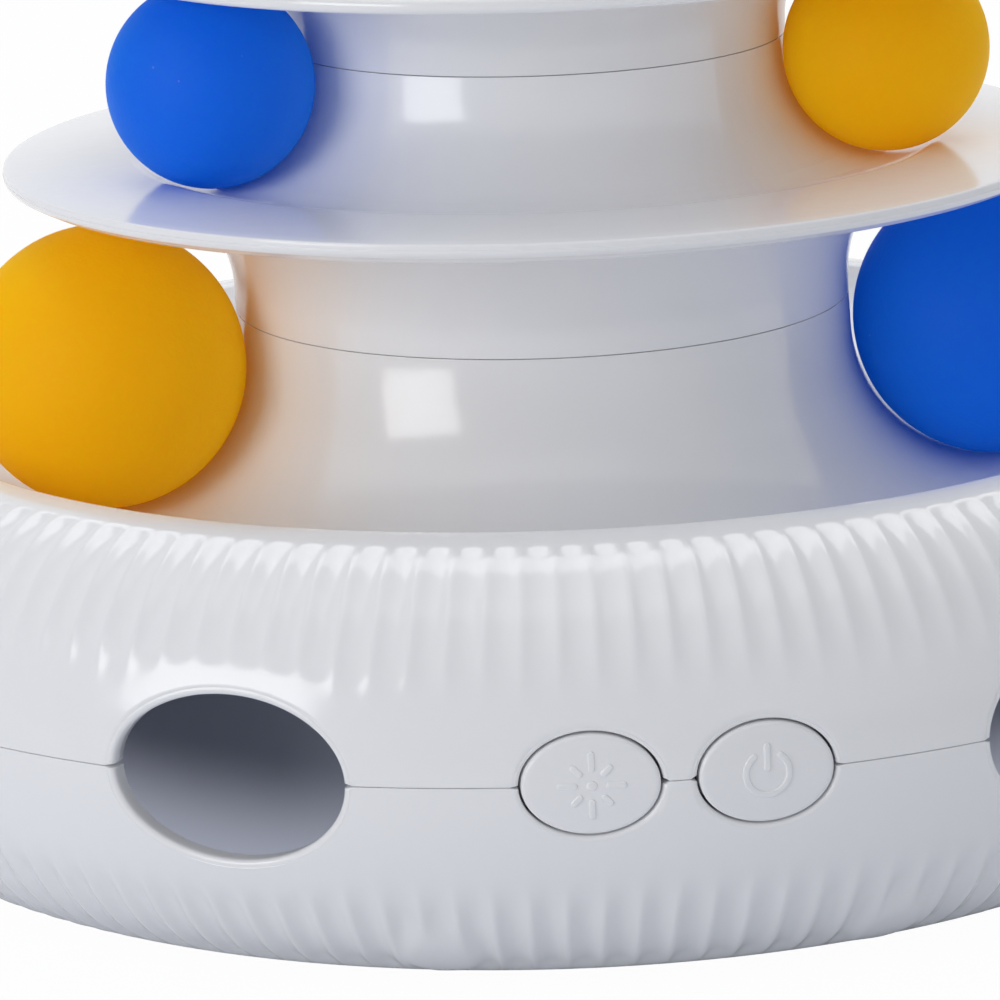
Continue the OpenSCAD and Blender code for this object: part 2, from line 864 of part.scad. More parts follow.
// Places as shares of the board and sizes as shares of its width: chip, capacitor, sockets
chip_shares = [
    [0.05, 0.1, 0.24, 0.24, 0.04], [-0.28, 0.28, 0.12, 0.09, 0.03], [0.3, -0.15, 0.1, 0.14, 0.06],
    [-0.3, -0.1, 0.1, 0.26, 0.14], [-0.05, 0.36, 0.26, 0.12, 0.14]
];
can_shares = [[0.1, -0.3, 0.075, 0.26], [-0.12, -0.28, 0.06, 0.2]];
module board_components() {
    color(dark) translate([main_x, main_y, main_z + pcb_t]) {
        for (c = chip_shares)
            block(c[0] * main_w, c[1] * main_d, 0, c[2] * main_w, c[3] * main_w, c[4] * main_w);
        for (c = can_shares)
            translate([c[0] * main_w, c[1] * main_d, 0])
                cylinder(h = c[3] * main_w, r = c[2] * main_w);
    }
}

module board_screws() {
    color("silver") main_post_places() {
        translate([0, 0, main_z + pcb_t - board_screw_l]) cylinder(h = board_screw_l, r = screw_r);
        translate([0, 0, main_z + pcb_t]) cylinder(h = screw_head_h, r = board_post_r);
    }
}

module button_board() {
    color("darkgreen")
        translate([-front_w / 2, -front_y - pcb_t, front_z]) cube([front_w, pcb_t, front_h]);
}

module button_places() {
    for (s = [-1, 1]) translate([s * button_pitch / 2, 0, 0]) children();
}

module tact_switches() {
    color(dark) button_places() difference() {
        block(0, -switch_face + switch_t / 2, part_z - switch_w / 2, switch_w, switch_t, switch_w);
        round_bar(
            plunger_r + plunger_fit, switch_face - plunger_in - button_travel - plunger_fit,
            switch_face + over
        );
    }
}

// A round bar from one radius to another, facing -Y at the height of the parting line
module round_bar(r, from, to) {
    translate([0, -from, part_z]) rotate([90, 0, 0]) cylinder(h = to - from, r = r);
}

// One of the two oval buttons, its face following the outer wall, with its stop flange and stem
module button(side) {
    color(white) translate([side * button_pitch / 2, 0, 0]) {
        back = base_r - guide_depth - flange_t;
        intersection() {
            oval_bar(button_w, button_h, back, base_r + over);
            translate([-side * button_pitch / 2, 0, 0]) base_space(-button_proud);
        }
        oval_bar(
            button_w + 2 * (button_gap + flange_rim), button_h + 2 * (button_gap + flange_rim),
            back, back + flange_t
        );
        round_bar(stem_r, back - stem_l, back + flange_t);
    }
}

module plunger(side) {
    tip = base_r - guide_depth - flange_t - stem_l;
    color("black") translate([side * button_pitch / 2, 0, 0])
        round_bar(plunger_r, switch_face - plunger_in, tip);
}

module light_button() {
    button(-1);
}

module power_button() {
    button(1);
}

module light_switch_plunger() {
    plunger(-1);
}

module power_switch_plunger() {
    plunger(1);
}

// Two small lamps on the outer face of the button board
module indicator_leds() {
    color("ivory") for (s = [-1, 1])
        block(
            s * (front_w / 2 - rail_w - led_w / 2), -front_y - pcb_t - led_t / 2,
            part_z - led_h / 2, led_w, led_t, led_h
        );
}

// Height of the inner face of the lower shell at a radius beyond the sole
function shell_floor(r) =
    let (u = (r - sole_r) / (base_r - sole_r - shell_wall))
    part_z - (base_drop - shell_wall) * sqrt(1 - u * u);

// Flat ribbon from the main board, under the brim, up the back of the button board
module signal_ribbon() {
    start_y = main_y - main_d / 2 + board_inset / 4;
    top = main_z + pcb_t;
    far_x = abs(ribbon_x) + ribbon_w / 2;
    bend = [
        for (i = [0:4])
            let (y = sole_r + (front_y - sole_r) * i / 4)
            [-y, shell_floor(norm([far_x, y])) + ribbon_gap]
    ];
    color("lightgray")
        translate([ribbon_x - ribbon_w / 2, 0, 0])
            rotate([90, 0, 90])
                linear_extrude(ribbon_w)
                    polygon(concat(
                        [
                            [start_y, top], [start_y, top + ribbon_t],
                            [start_y - board_inset, top + ribbon_t],
                            [start_y - 2 * board_inset, floor_z + ribbon_t]
                        ],
                        [for (i = [0:4]) bend[i] + ribbon_t * [i / 4, 1]],
                        [
                            [ribbon_t - front_y, front_z + board_inset],
                            [-front_y, front_z + board_inset]
                        ],
                        [for (i = [4:-1:0]) bend[i]],
                        [
                            [start_y - 2 * board_inset + ribbon_t, floor_z],
                            [start_y - board_inset, top]
                        ]
                    ));
}

// Closed gearbox with two ears and the motor can below it
module gear_motor() {
    low = motor_top_z - motor_h;
    color("silver") difference() {
        union() {
            block(0, -drive_r, low, motor_w, motor_d, motor_h);
            block(0, -drive_r, low, motor_w + 2 * ear_w, 2 * ear_r, ear_t);
            translate([can_x, -drive_r, low - can_h]) cylinder(h = can_h, r = can_r);
        }
        translate([0, -drive_r, motor_top_z - motor_h / 2])
            cylinder(h = motor_h, r = axle_r + shaft_fit);
        ear_places() translate([0, 0, low - over]) cylinder(h = ear_t + 2 * over, r = screw_r + screw_fit);
    }
}

module motor_screws() {
    low = motor_top_z - motor_h + ear_t;
    color("silver") ear_places() {
        translate([0, 0, low - board_screw_l]) cylinder(h = board_screw_l, r = screw_r);
        translate([0, 0, low]) cylinder(h = screw_head_h, r = screw_head_r);
    }
}

module output_shaft() {
    color("silver") translate([0, -drive_r, motor_top_z - motor_h / 2 + shaft_fit])
        cylinder(h = motor_h / 2 + gear_gap + gear_w - shaft_fit, r = axle_r);
}

// Involute gear outline
pressure_a = 20;
addendum_share = 0.9;
root_share = 1.2;
function inv(a) = tan(a) * 180 / PI - a;
function half_tooth(teeth, r) =
    let (base = teeth * gear_module / 2 * cos(pressure_a))
    90 / teeth + inv(pressure_a) - (r > base ? inv(acos(base / r)) : 0)
        - backlash / (2 * gear_module * teeth) * 180 / PI;
function gear_points(teeth) =
    let (
        root = gear_module * (teeth / 2 - root_share),
        tip = gear_module * (teeth / 2 + addendum_share),
        flank = [for (k = [0:4]) root + (tip - root) * k / 4]
    )
    [
        for (i = [0:teeth - 1], s = [-1, 1], k = [0:4])
            let (r = flank[s < 0 ? k : 4 - k], a = 360 * i / teeth + s * half_tooth(teeth, r))
            [r * cos(a), r * sin(a)]
    ];

module drive_pinion() {
    color("ivory") translate([0, -drive_r, gear_z]) difference() {
        rotate([0, 0, 90 + 180 / pinion_teeth])
            linear_extrude(gear_w) polygon(gear_points(pinion_teeth));
        translate([0, 0, -over]) cylinder(h = gear_w + 2 * over, r = axle_r);
    }
}

module carousel_axle() {
    color("silver") difference() {
        translate([0, 0, axle_low_z]) cylinder(h = axle_top_z - axle_low_z, r = axle_r);
        translate([0, 0, clip_z]) difference() {
            cylinder(h = clip_t, r = axle_r + over);
            cylinder(h = clip_t, r = axle_r - clip_groove);
        }
    }
}

module thrust_washer() {
    color("gold") translate([0, 0, post_top_z]) difference() {
        cylinder(h = washer_t, r = washer_r);
        translate([0, 0, -over]) cylinder(h = washer_t + 2 * over, r = axle_r + axle_fit);
    }
}

module retaining_washer() {
    color("gold") translate([0, 0, hub_top_z]) difference() {
        cylinder(h = washer_t, r = washer_r);
        translate([0, 0, -over]) cylinder(h = washer_t + 2 * over, r = axle_r + axle_fit);
    }
}

module axle_clip() {
    color("silver") translate([0, 0, clip_z]) difference() {
        cylinder(h = clip_t, r = clip_r);
        translate([0, 0, -over]) cylinder(h = clip_t + 2 * over, r = axle_r - clip_groove);
        translate([0, -axle_r / 2, -over]) cube([clip_r + over, axle_r, clip_t + 2 * over]);
    }
}

// The rotor: hub, web, gear ring, drum wall and the brim that the lure stands on
module carousel() {
    hub_bore = axle_r + axle_fit;
    drum_in = drum_r - drum_wall;
    gear_in = gear_r - root_share * gear_module - gear_rim;
    color(dark) {
        turned([
            [hub_bore, hub_low_z], [hub_r, hub_low_z], [hub_r, web_z], [drum_in, web_z],
            [drum_in, brim_z], [brim_r, brim_z], [brim_r, brim_z + drum_wall],
            [drum_r, brim_z + drum_wall], [drum_r, web_top_z - drum_wall],
            [drum_r - drum_wall, web_top_z], [hub_r, web_top_z], [hub_r, hub_top_z],
            [hub_bore, hub_top_z]
        ]);
        difference() {
            translate([0, 0, gear_z])
                rotate([0, 0, -90])
                    linear_extrude(web_z - gear_z + drum_wall / 2) polygon(gear_points(gear_teeth));
            translate([0, 0, gear_z - over])
                cylinder(h = web_z - gear_z + drum_wall + 2 * over, r = gear_in);
        }
    }
}

// Clip on the brim at the back, with the stalk that carries the lure
module lure_clip() {
    color(dark) translate([0, lure_at_r, brim_z + drum_wall]) {
        block(0, 0, 0, lure_foot_w, lure_foot_w, lure_foot_t);
        cylinder(h = lure_z - lure_r / 2 - brim_z - drum_wall, r = stalk_r);
    }
}

module plush_lure() {
    color("orange") difference() {
        translate([0, lure_at_r, lure_z]) sphere(r = lure_r);
        translate([0, lure_at_r, lure_z - lure_r - over])
            cylinder(h = lure_r / 2 + over, r = stalk_r);
    }
}

module ball(track_r, z, r, a) {
    facing(a) translate([0, -track_r, z]) sphere(r = r);
}

module lower_yellow_ball() {
    color("orange") ball(lower_track_r, low_ball_z, lower_ball_r, lower_yellow_a);
}

module lower_blue_ball() {
    color("royalblue") ball(lower_track_r, low_ball_z, lower_ball_r, lower_blue_a);
}

module upper_blue_ball() {
    color("royalblue") ball(upper_track_r, up_ball_z, upper_ball_r, upper_blue_a);
}

module upper_yellow_ball() {
    color("orange") ball(upper_track_r, up_ball_z, upper_ball_r, upper_yellow_a);
}

base_lower_shell();
base_upper_shell();
middle_tier();
top_tier();
top_cap();
rubber_feet();
shell_screws();
battery_door();
battery_door_screw();
battery_cells();
battery_springs();
contact_plates();
main_circuit_board();
board_components();
board_screws();
button_board();
tact_switches();
indicator_leds();
signal_ribbon();
gear_motor();
motor_screws();
carousel_axle();
thrust_washer();
retaining_washer();
axle_clip();
carousel();
lure_clip();
plush_lure();
drive_pinion();
output_shaft();
light_button();
light_switch_plunger();
power_button();
power_switch_plunger();
lower_yellow_ball();
lower_blue_ball();
upper_blue_ball();
upper_yellow_ball();
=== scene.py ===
"""Looks of the cat ball track toy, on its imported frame.

Shapes are in millimetres until they become meshes; materials, lights and the camera are in metres. Azimuths are
degrees from the front, -Y, towards +X.
"""
import math

import bpy
import numpy as np
from mathutils import Matrix


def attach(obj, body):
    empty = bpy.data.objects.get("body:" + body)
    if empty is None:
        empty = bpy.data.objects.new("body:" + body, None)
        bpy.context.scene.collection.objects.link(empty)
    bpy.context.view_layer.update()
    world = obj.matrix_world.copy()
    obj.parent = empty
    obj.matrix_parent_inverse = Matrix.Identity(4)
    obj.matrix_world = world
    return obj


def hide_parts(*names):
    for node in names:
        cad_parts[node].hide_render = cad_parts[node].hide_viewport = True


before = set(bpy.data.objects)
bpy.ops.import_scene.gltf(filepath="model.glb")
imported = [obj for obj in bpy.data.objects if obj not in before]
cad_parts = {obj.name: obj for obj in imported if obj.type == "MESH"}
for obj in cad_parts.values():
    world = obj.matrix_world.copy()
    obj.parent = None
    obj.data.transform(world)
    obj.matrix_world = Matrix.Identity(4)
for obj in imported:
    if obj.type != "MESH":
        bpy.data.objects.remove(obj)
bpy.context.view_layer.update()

MM = 0.001
WHITE = (0.925, 0.926, 0.938, 1)

# the base; each half has the middle radius and the half sizes of its wall's ellipse, its way from the parting
# line, 1 or -1, and the depth of its flutes
PART_Z = 33.6
BASE_R = 115.6
UPPER = {"centre": 93.5, "semi": (22.1, 28.4), "way": 1, "flute": 0.38}
LOWER = {"centre": 90.0, "semi": (25.6, 32.1), "way": -1, "flute": 0.72}
WALL = 2.5
FOOT_H = 1.5
SEAM_GAP = 0.05
SEAM_EASE = 0.12
RIM_Z = PART_Z + UPPER["semi"][1]
QUARTER = np.radians([22.5, 45, 67.5, 90])

# the flutes
RIBS = 144
PER_RIB = 10
COLUMNS = RIBS * PER_RIB
COLUMN_AT = np.radians(np.arange(COLUMNS) * 360 / COLUMNS)
COARSE = 5
RIDGE_SOFT = 0.16
PATCH_TOP = 38.0
UPPER_FADE, LOWER_FADE, LOWER_END = (19, 39), (23, 40), (62, 73)
SCOOP_END, SCOOP = 77.5, 6.5
PAD_FADE = (1.15, 1.60)

# the sunk screws; the wall swells a little over the plugged ones
SCREW_AT = 103.5
SCREWS = (-17, 17, -60, 60, -120, 120, 180)
PLUGGED, PLUG_SWELL, PLUG_FADE = (-17, 17), 0.3, (3.5, 7.0)

# the tiers; UP is what belongs to the upper track, HUG the radius of a track round its ball
TRACK_R, TRACK_BALL_Z, HUG = 66.1, 70.0, 20.85
TRACK_FLOOR = 49.15
NECK_R, SEAM_Z = 45.05, 74.6
CREST_ROUND = 2.0
UP_TRACK_R, UP_BALL_Z, UP_HUG = 52.0, 111.5, 15.15
UP_FLOOR = 96.35
UP_NECK_R, UP_SEAM_Z = 36.65, 113.0
FLARE_R, FLARE_UP = 15.0, 2.7
UP_FLARE_R, UP_FLARE_UP = 11.7, 2.3
TIER_WALL = 2.2
MID_RIM_R, MID_RIM_T, MID_RIM_UP = 77.9, 1.95, 1.15
RIDGE_R, RIDGE_UP = 59.4, 0.55
TOP_UNDER_Z, TOP_Z, TOP_RIM_R, TOP_LIP = 126.65, 128.35, 65.0, 0.55
CAP_R, CAP_RISE, CAP_EDGE = 46.0, 10.0, 0.8
SPIGOT_H, SPIGOT_WALL, SPIGOT_GAP = 6.0, 2.0, 0.2


# ---- outlines and meshes ----


def arc(centre, semi, start, end, steps):
    """Points centre + (semi_r cos a, semi_z sin a) of an ellipse, with a from start to end in degrees."""
    a = np.radians(np.linspace(start, end, steps + 1))
    return np.column_stack([centre[0] + semi[0] * np.cos(a), centre[1] + semi[1] * np.sin(a)])


def outline(*parts, loop=True):
    """One outline from arcs, taken as they are, and corners (r, z, size).

    A corner becomes the quadratic curve (1-t)^2 a + 2t(1-t) c + t^2 b between points a and b that lie `size` from
    the corner c along its two sides, and one more point stands a little further out on each side to keep it flat.
    """
    points, sizes = [], []
    for part in parts:
        if isinstance(part, tuple):
            points.append(part[:2])
            sizes.append(part[2])
        else:
            points.extend(map(tuple, part))
            sizes.extend([0.0] * len(part))
    points = np.array(points, float)
    count = len(points)
    t = np.linspace(0, 1, 5)[:, None]
    out = []
    for i, (c, size) in enumerate(zip(points, sizes)):
        if size == 0 or (not loop and i in (0, count - 1)):
            out.append(c[None])
            continue
        before, after = points[i - 1] - c, points[(i + 1) % count] - c
        reach = min(size, 0.4 * np.linalg.norm(before), 0.4 * np.linalg.norm(after))
        before, after = before / np.linalg.norm(before), after / np.linalg.norm(after)
        a, b = c + before * reach, c + after * reach
        curve = (1 - t) ** 2 * a + 2 * t * (1 - t) * c + t ** 2 * b
        out += [(a + before * reach / 3)[None], curve, (b + after * reach / 3)[None]]
    return np.vstack(out)


def around(r, azimuth, z):
    """Points at a radius, an azimuth in radians and a height; each may be one number or an array."""
    r, azimuth, z = np.broadcast_arrays(r, azimuth, z)
    return np.column_stack([r * np.sin(azimuth), -r * np.cos(azimuth), z])


def turned(profile, columns):
    """Rings of a profile of (r, z) turned about Z; r 0 gives one point."""
    azimuth = np.radians(np.arange(columns) * 360 / columns)
    return [around(r, azimuth if r > 1e-6 else azimuth[:1], z) for r, z in profile]


def skinned(rings, loop=False):
    """Points and faces of the skin through closed rings.

    Rings of one length are joined by quads. A ring joins one with k times its points by k + 1 triangles per
    coarse edge, and a single point is joined by a fan.
    """
    points = np.vstack(rings)
    starts = np.cumsum([0] + [len(r) for r in rings])
    pairs = [(i, i + 1) for i in range(len(rings) - 1)] + ([(len(rings) - 1, 0)] if loop else [])
    quads, tris = [], []
    for i, j in pairs:
        m, n, a, b = len(rings[i]), len(rings[j]), starts[i], starts[j]
        if m == n:
            k = np.arange(m)
            k1 = (k + 1) % m
            quads.append(np.column_stack([a + k, a + k1, b + k1, b + k]))
        elif m == 1 or n == 1:
            k = np.arange(max(m, n))
            k1 = (k + 1) % len(k)
            fan = [a + k, a + k1, b + 0 * k] if n == 1 else [b + k1, b + k, a + 0 * k]
            tris.append(np.column_stack(fan))
        else:
            few, many, c, f = (m, n, a, b) if m < n else (n, m, b, a)
            step = many // few
            e = np.arange(many)
            near = np.where(e % step < step // 2, e // step, e // step + 1) % few
            edge = [f + e, f + (e + 1) % many, c + near]
            g = np.arange(few)
            middle = [c + g, f + g * step + step // 2, c + (g + 1) % few]
            for t in (np.column_stack(edge), np.column_stack(middle)):
                tris.append(t if m > n else t[:, ::-1])
    return points, quads, tris


def mesh_of(name, points, quads=(), tris=()):
    """A smooth mesh in metres from points in millimetres, its faces turned outwards by the sign of its volume."""
    points = np.asarray(points, float)
    faces = [np.vstack(g) for g in (list(quads), list(tris)) if len(g)]
    volume = 0.0
    for g in faces:
        for k in range(1, g.shape[1] - 1):
            a, b, c = points[g[:, 0]], points[g[:, k]], points[g[:, k + 1]]
            volume += np.einsum("ij,ij->", a, np.cross(b, c))
    if volume < 0:
        faces = [g[:, ::-1] for g in faces]
    mesh = bpy.data.meshes.new(name)
    mesh.vertices.add(len(points))
    mesh.vertices.foreach_set("co", (points * MM).astype(np.float32).ravel())
    corners = np.concatenate([g.ravel() for g in faces])
    sizes = np.concatenate([np.full(len(g), g.shape[1]) for g in faces])
    mesh.loops.add(len(corners))
    mesh.loops.foreach_set("vertex_index", corners.astype(np.int32))
    mesh.polygons.add(len(sizes))
    mesh.polygons.foreach_set("loop_start", np.concatenate([[0], np.cumsum(sizes)[:-1]]).astype(np.int32))
    mesh.update(calc_edges=True)
    mesh.validate()
    mesh.polygons.foreach_set("use_smooth", np.ones(len(mesh.polygons), bool))
    return mesh


def piece(name, mesh, material, body, slot, *nodes):
    """Puts a mesh in the scene as a piece of the toy that rides on a body and stands for CAD nodes."""
    obj = bpy.data.objects.new(name, mesh)
    bpy.context.scene.collection.objects.link(obj)
    mesh.materials.append(material)
    if nodes:
        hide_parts(*nodes)
    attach(obj, body)
    return obj


def joined(*skins):
    """Several (points, quads, tris) as one."""
    points, quads, tris, shift = [], [], [], 0
    for p, q, t in skins:
        points.append(p)
        quads += [g + shift for g in q]
        tris += [g + shift for g in t]
        shift += len(p)
    return np.vstack(points), quads, tris


# ---- materials ----


def new_group(name, inputs, outputs):
    """An empty shader node group with float or vector sockets, and its two end nodes."""
    tree = bpy.data.node_groups.new(name, "ShaderNodeTree")
    for label, kind, value in inputs:
        socket = tree.interface.new_socket(name=label, in_out="INPUT", socket_type="NodeSocket" + kind)
        if value is not None:
            socket.default_value = value
    for label, kind in outputs:
        tree.interface.new_socket(name=label, in_out="OUTPUT", socket_type="NodeSocket" + kind)
    return tree, tree.nodes.new("NodeGroupInput"), tree.nodes.new("NodeGroupOutput")


def feed(tree, node, feeds):
    """Gives inputs of a node, by name or number, values or links from sockets."""
    for key, value in feeds.items():
        if isinstance(value, bpy.types.NodeSocket):
            tree.links.new(value, node.inputs[key])
        else:
            node.inputs[key].default_value = value


def add_node(tree, kind, feeds, **settings):
    """A new node; its settings are made before its inputs are fed."""
    node = tree.nodes.new(kind)
    for name, value in settings.items():
        setattr(node, name, value)
    feed(tree, node, feeds)
    return node


def math_node(tree, operation, *inputs):
    """Output of a new math node whose inputs are numbers or sockets."""
    return add_node(tree, "ShaderNodeMath", dict(enumerate(inputs)), operation=operation).outputs[0]


def range_node(tree, value, low, high, smooth=False):
    """Output of a new Map Range node, from 0 at low to 1 at high, which are numbers or sockets."""
    feeds = {"Value": value, "From Min": low, "From Max": high}
    kind = "SMOOTHSTEP" if smooth else "LINEAR"
    return add_node(tree, "ShaderNodeMapRange", feeds, interpolation_type=kind).outputs["Result"]


def mix_node(tree, factor, a, b):
    """Output of a new mix of a and b, which are colours or sockets."""
    return add_node(tree, "ShaderNodeMix", {"Factor": factor, "A": a, "B": b}, data_type="RGBA").outputs["Result"]


def mould_skin_group():
    """Moulded surface: Height is fine orange peel, Mottle a slow cloudy mask from 0 to 1."""
    tree, first, last = new_group(
        "mould_skin",
        [("Vector", "Vector", None), ("Peel Scale", "Float", 700.0), ("Cloud Scale", "Float", 25.0)],
        [("Height", "Float"), ("Mottle", "Float")],
    )
    peel, cloud = [
        add_node(tree, "ShaderNodeTexNoise", {
            "Detail": detail, "Vector": first.outputs["Vector"], "Scale": first.outputs[scale],
        }).outputs["Fac"]
        for scale, detail in (("Peel Scale", 2), ("Cloud Scale", 3))
    ]
    feed(tree, last, {"Height": peel, "Mottle": range_node(tree, cloud, 0.3, 0.7)})
    return tree


def specks_group():
    """Sparse specks: 1 within Size of the middle of a cell, only in the cells whose own value is below Share."""
    tree, first, last = new_group(
        "dust_specks",
        [("Vector", "Vector", None), ("Scale", "Float", 200.0), ("Size", "Float", 0.1), ("Share", "Float", 0.1)],
        [("Mask", "Float")],
    )
    cells = add_node(tree, "ShaderNodeTexVoronoi", {
        "Vector": first.outputs["Vector"], "Scale": first.outputs["Scale"],
    }).outputs
    own = add_node(tree, "ShaderNodeSeparateColor", {"Color": cells["Color"]}).outputs["Red"]
    near = math_node(tree, "LESS_THAN", cells["Distance"], first.outputs["Size"])
    rare = math_node(tree, "LESS_THAN", own, first.outputs["Share"])
    feed(tree, last, {"Mask": math_node(tree, "MULTIPLY", near, rare)})
    return tree


DRAFT_LABELS = ("Middle", "Half Width", "Reach", "Rise")


def draft_group():
    """Height of a wide low swelling round a neck, for a bump that draws its flare out straighter.

    Height is Rise (1 - d^2)^2, where d is (z - Middle) / Half Width, inside the radius Reach and 0 a tenth beyond.
    """
    inputs = [("Vector", "Vector", None)] + [(label, "Float", 0.1) for label in DRAFT_LABELS]
    tree, first, last = new_group("neck_draft", inputs, [("Height", "Float")])
    x, y, z = add_node(tree, "ShaderNodeSeparateXYZ", {0: first.outputs["Vector"]}).outputs
    middle, half_width, reach, rise = [first.outputs[label] for label in DRAFT_LABELS]
    squares = [math_node(tree, "MULTIPLY", axis, axis) for axis in (x, y)]
    radius = math_node(tree, "SQRT", math_node(tree, "ADD", *squares))
    near = range_node(tree, radius, math_node(tree, "MULTIPLY", reach, 1.1), reach)
    away = math_node(tree, "DIVIDE", math_node(tree, "SUBTRACT", z, middle), half_width)
    left = math_node(tree, "SUBTRACT", 1.0, math_node(tree, "MULTIPLY", away, away))
    inside = math_node(tree, "MAXIMUM", left, 0.0)
    swell = math_node(tree, "MULTIPLY", math_node(tree, "MULTIPLY", inside, inside), rise)
    feed(tree, last, {"Height": math_node(tree, "MULTIPLY", swell, near)})
    return tree


SKIN = mould_skin_group()
SPECKS = specks_group()
DRAFT = draft_group()


def finish_of(
    name, colour, second, rough, rough_more=0.05, peel=0.04, peel_scale=700.0, cloud_scale=25.0, peel_depth=0.0002,
    metal=0.0, specular=0.5, speck=None, speck_scale=200.0, speck_size=0.1, speck_share=0.1,
    draft=None, depth=None, glow=None, fade=None,
):
    """A Principled finish: colour and roughness drift with the mottle, orange peel is a bump, specks lie over it.

    draft (middle, half width, reach, rise) draws the shading of a neck out straighter about a height. depth is the
    reach of red, green and blue light under the surface. glow is painted light, an emission that makes a part
    look more lit though it is no lamp, and fade the two heights between which this painted glow ends.
    """
    material = bpy.data.materials.new(name)
    material.use_nodes = True
    tree = material.node_tree
    shader = tree.nodes["Principled BSDF"]
    place = add_node(tree, "ShaderNodeTexCoord", {}).outputs["Object"]
    feed(tree, shader, {"Metallic": metal, "Specular IOR Level": specular})
    if depth:
        feed(tree, shader, {"Subsurface Weight": 0.8, "Subsurface Radius": depth, "Subsurface Scale": 0.018})
    # painted light: the glow colour is emitted, so the part shines without a lamp; with fade it shines only below
    # the fade heights
    if glow:
        feed(tree, shader, {"Emission Color": glow, "Emission Strength": 1.0})
    if fade:
        height = add_node(tree, "ShaderNodeSeparateXYZ", {0: place}).outputs["Z"]
        ended = range_node(tree, height, *fade, smooth=True)
        feed(tree, shader, {"Emission Color": mix_node(tree, ended, glow, (0, 0, 0, 1))})
    skin = add_node(tree, "ShaderNodeGroup", {
        "Peel Scale": peel_scale, "Cloud Scale": cloud_scale, "Vector": place,
    }, node_tree=SKIN).outputs
    shade = mix_node(tree, skin["Mottle"], colour, second)
    if speck:
        specks = add_node(tree, "ShaderNodeGroup", {
            "Scale": speck_scale, "Size": speck_size, "Share": speck_share, "Vector": place,
        }, node_tree=SPECKS)
        shade = mix_node(tree, specks.outputs["Mask"], shade, speck)
    gloss = add_node(tree, "ShaderNodeMapRange", {
        "Value": skin["Mottle"], "To Min": rough, "To Max": rough + rough_more,
    })
    bump_feeds = {"Strength": peel, "Distance": peel_depth, "Height": skin["Height"]}
    if draft:
        feeds = {**dict(zip(DRAFT_LABELS, draft)), "Vector": place}
        lean = add_node(tree, "ShaderNodeGroup", feeds, node_tree=DRAFT)
        lift = add_node(tree, "ShaderNodeBump", {"Distance": 1, "Height": lean.outputs["Height"]})
        bump_feeds["Normal"] = lift.outputs["Normal"]
    bump = add_node(tree, "ShaderNodeBump", bump_feeds)
    feed(tree, shader, {
        "Base Color": shade, "Roughness": gloss.outputs["Result"], "Normal": bump.outputs["Normal"],
    })
    return material


def glossy_white(name, draft=None, colour=WHITE):
    """The shells' plastic."""
    return finish_of(
        name, colour, (0.915, 0.916, 0.930, 1), 0.13, 0.03, peel=0.10, peel_scale=260, cloud_scale=18,
        speck=(0.25, 0.24, 0.22, 1), speck_scale=70, speck_size=0.009, speck_share=0.03, draft=draft,
        specular=0.70,
    )


white = glossy_white("glossy_white")
lower_neck_white = glossy_white("glossy_white_lower_neck", (0.0595, 0.0165, 0.060, 0.00160))
# painted light: the middle tier's white is a lighter copy of the shells' white, standing in for more light falling
# on its flange
upper_neck_white_painted_lighter = glossy_white("glossy_white_upper_neck_painted_lighter", (0.102, 0.020, 0.047, 0.0006), (0.96, 0.962, 0.982, 1))
# painted light: the carousel emits a bluish grey glow that fades out between 9 and 26.5 mm high, so its lower part
# seen through the paw holes looks lit and its top stays dark
carousel_grey_painted_glow = finish_of(
    "carousel_grey_painted_glow", (0.32, 0.345, 0.41, 1), (0.31, 0.335, 0.40, 1), 0.30, 0.05, peel=0.08,
    glow=(0.24, 0.25, 0.29, 1), fade=(0.009, 0.0265),
)
button_white = finish_of("button_white", WHITE, (0.91, 0.911, 0.926, 1), 0.22, 0.04, peel=0.12, peel_scale=900)
# painted light: the yellow balls emit a faint orange glow, which lifts their shaded side and the orange light they
# throw on the necks
yellow = finish_of(
    "matt_yellow", (0.95, 0.49, 0.001, 1), (0.92, 0.465, 0.001, 1), 0.55, 0.06, peel=0.25, peel_scale=1500,
    cloud_scale=45, specular=0.10, depth=(1.0, 0.5, 0.05), glow=(0.13, 0.052, 0.0, 1),
    speck=(0.45, 0.20, 0.01, 1), speck_scale=160, speck_size=0.03, speck_share=0.06,
)
# painted light: the blue balls emit a faint blue glow, which lifts their shaded side and the blue light they throw
# on the necks
blue = finish_of(
    "matt_blue", (0.003, 0.140, 0.76, 1), (0.002, 0.128, 0.72, 1), 0.55, 0.06, peel=0.25, peel_scale=1500,
    cloud_scale=45, specular=0.18, depth=(0.05, 0.4, 1.0), glow=(0.0, 0.022, 0.10, 1),
    speck=(0.10, 0.20, 0.75, 1), speck_scale=330, speck_size=0.06, speck_share=0.14,
)
steel = finish_of(
    "plated_steel", (0.55, 0.56, 0.58, 1), (0.45, 0.46, 0.48, 1), 0.28, 0.12, metal=1.0, peel_scale=2500,
)
brass = finish_of(
    "turned_brass", (0.70, 0.52, 0.22, 1), (0.60, 0.43, 0.17, 1), 0.28, 0.1, metal=1.0, peel_scale=2500,
)
board = finish_of("green_laminate", (0.01, 0.12, 0.04, 1), (0.015, 0.15, 0.05, 1), 0.35, 0.1, cloud_scale=300)
black = finish_of("black_moulding", (0.02, 0.02, 0.022, 1), (0.03, 0.03, 0.032, 1), 0.45, 0.1, peel=0.2)
resin = finish_of("lamp_resin", (0.85, 0.80, 0.55, 1), (0.80, 0.75, 0.50, 1), 0.1, 0.03)
ribbon_grey = finish_of("ribbon_grey", (0.45, 0.45, 0.47, 1), (0.40, 0.40, 0.42, 1), 0.5, 0.1)
sleeve = finish_of("cell_sleeve", (0.03, 0.08, 0.05, 1), (0.04, 0.10, 0.06, 1), 0.25, 0.08, metal=0.3)
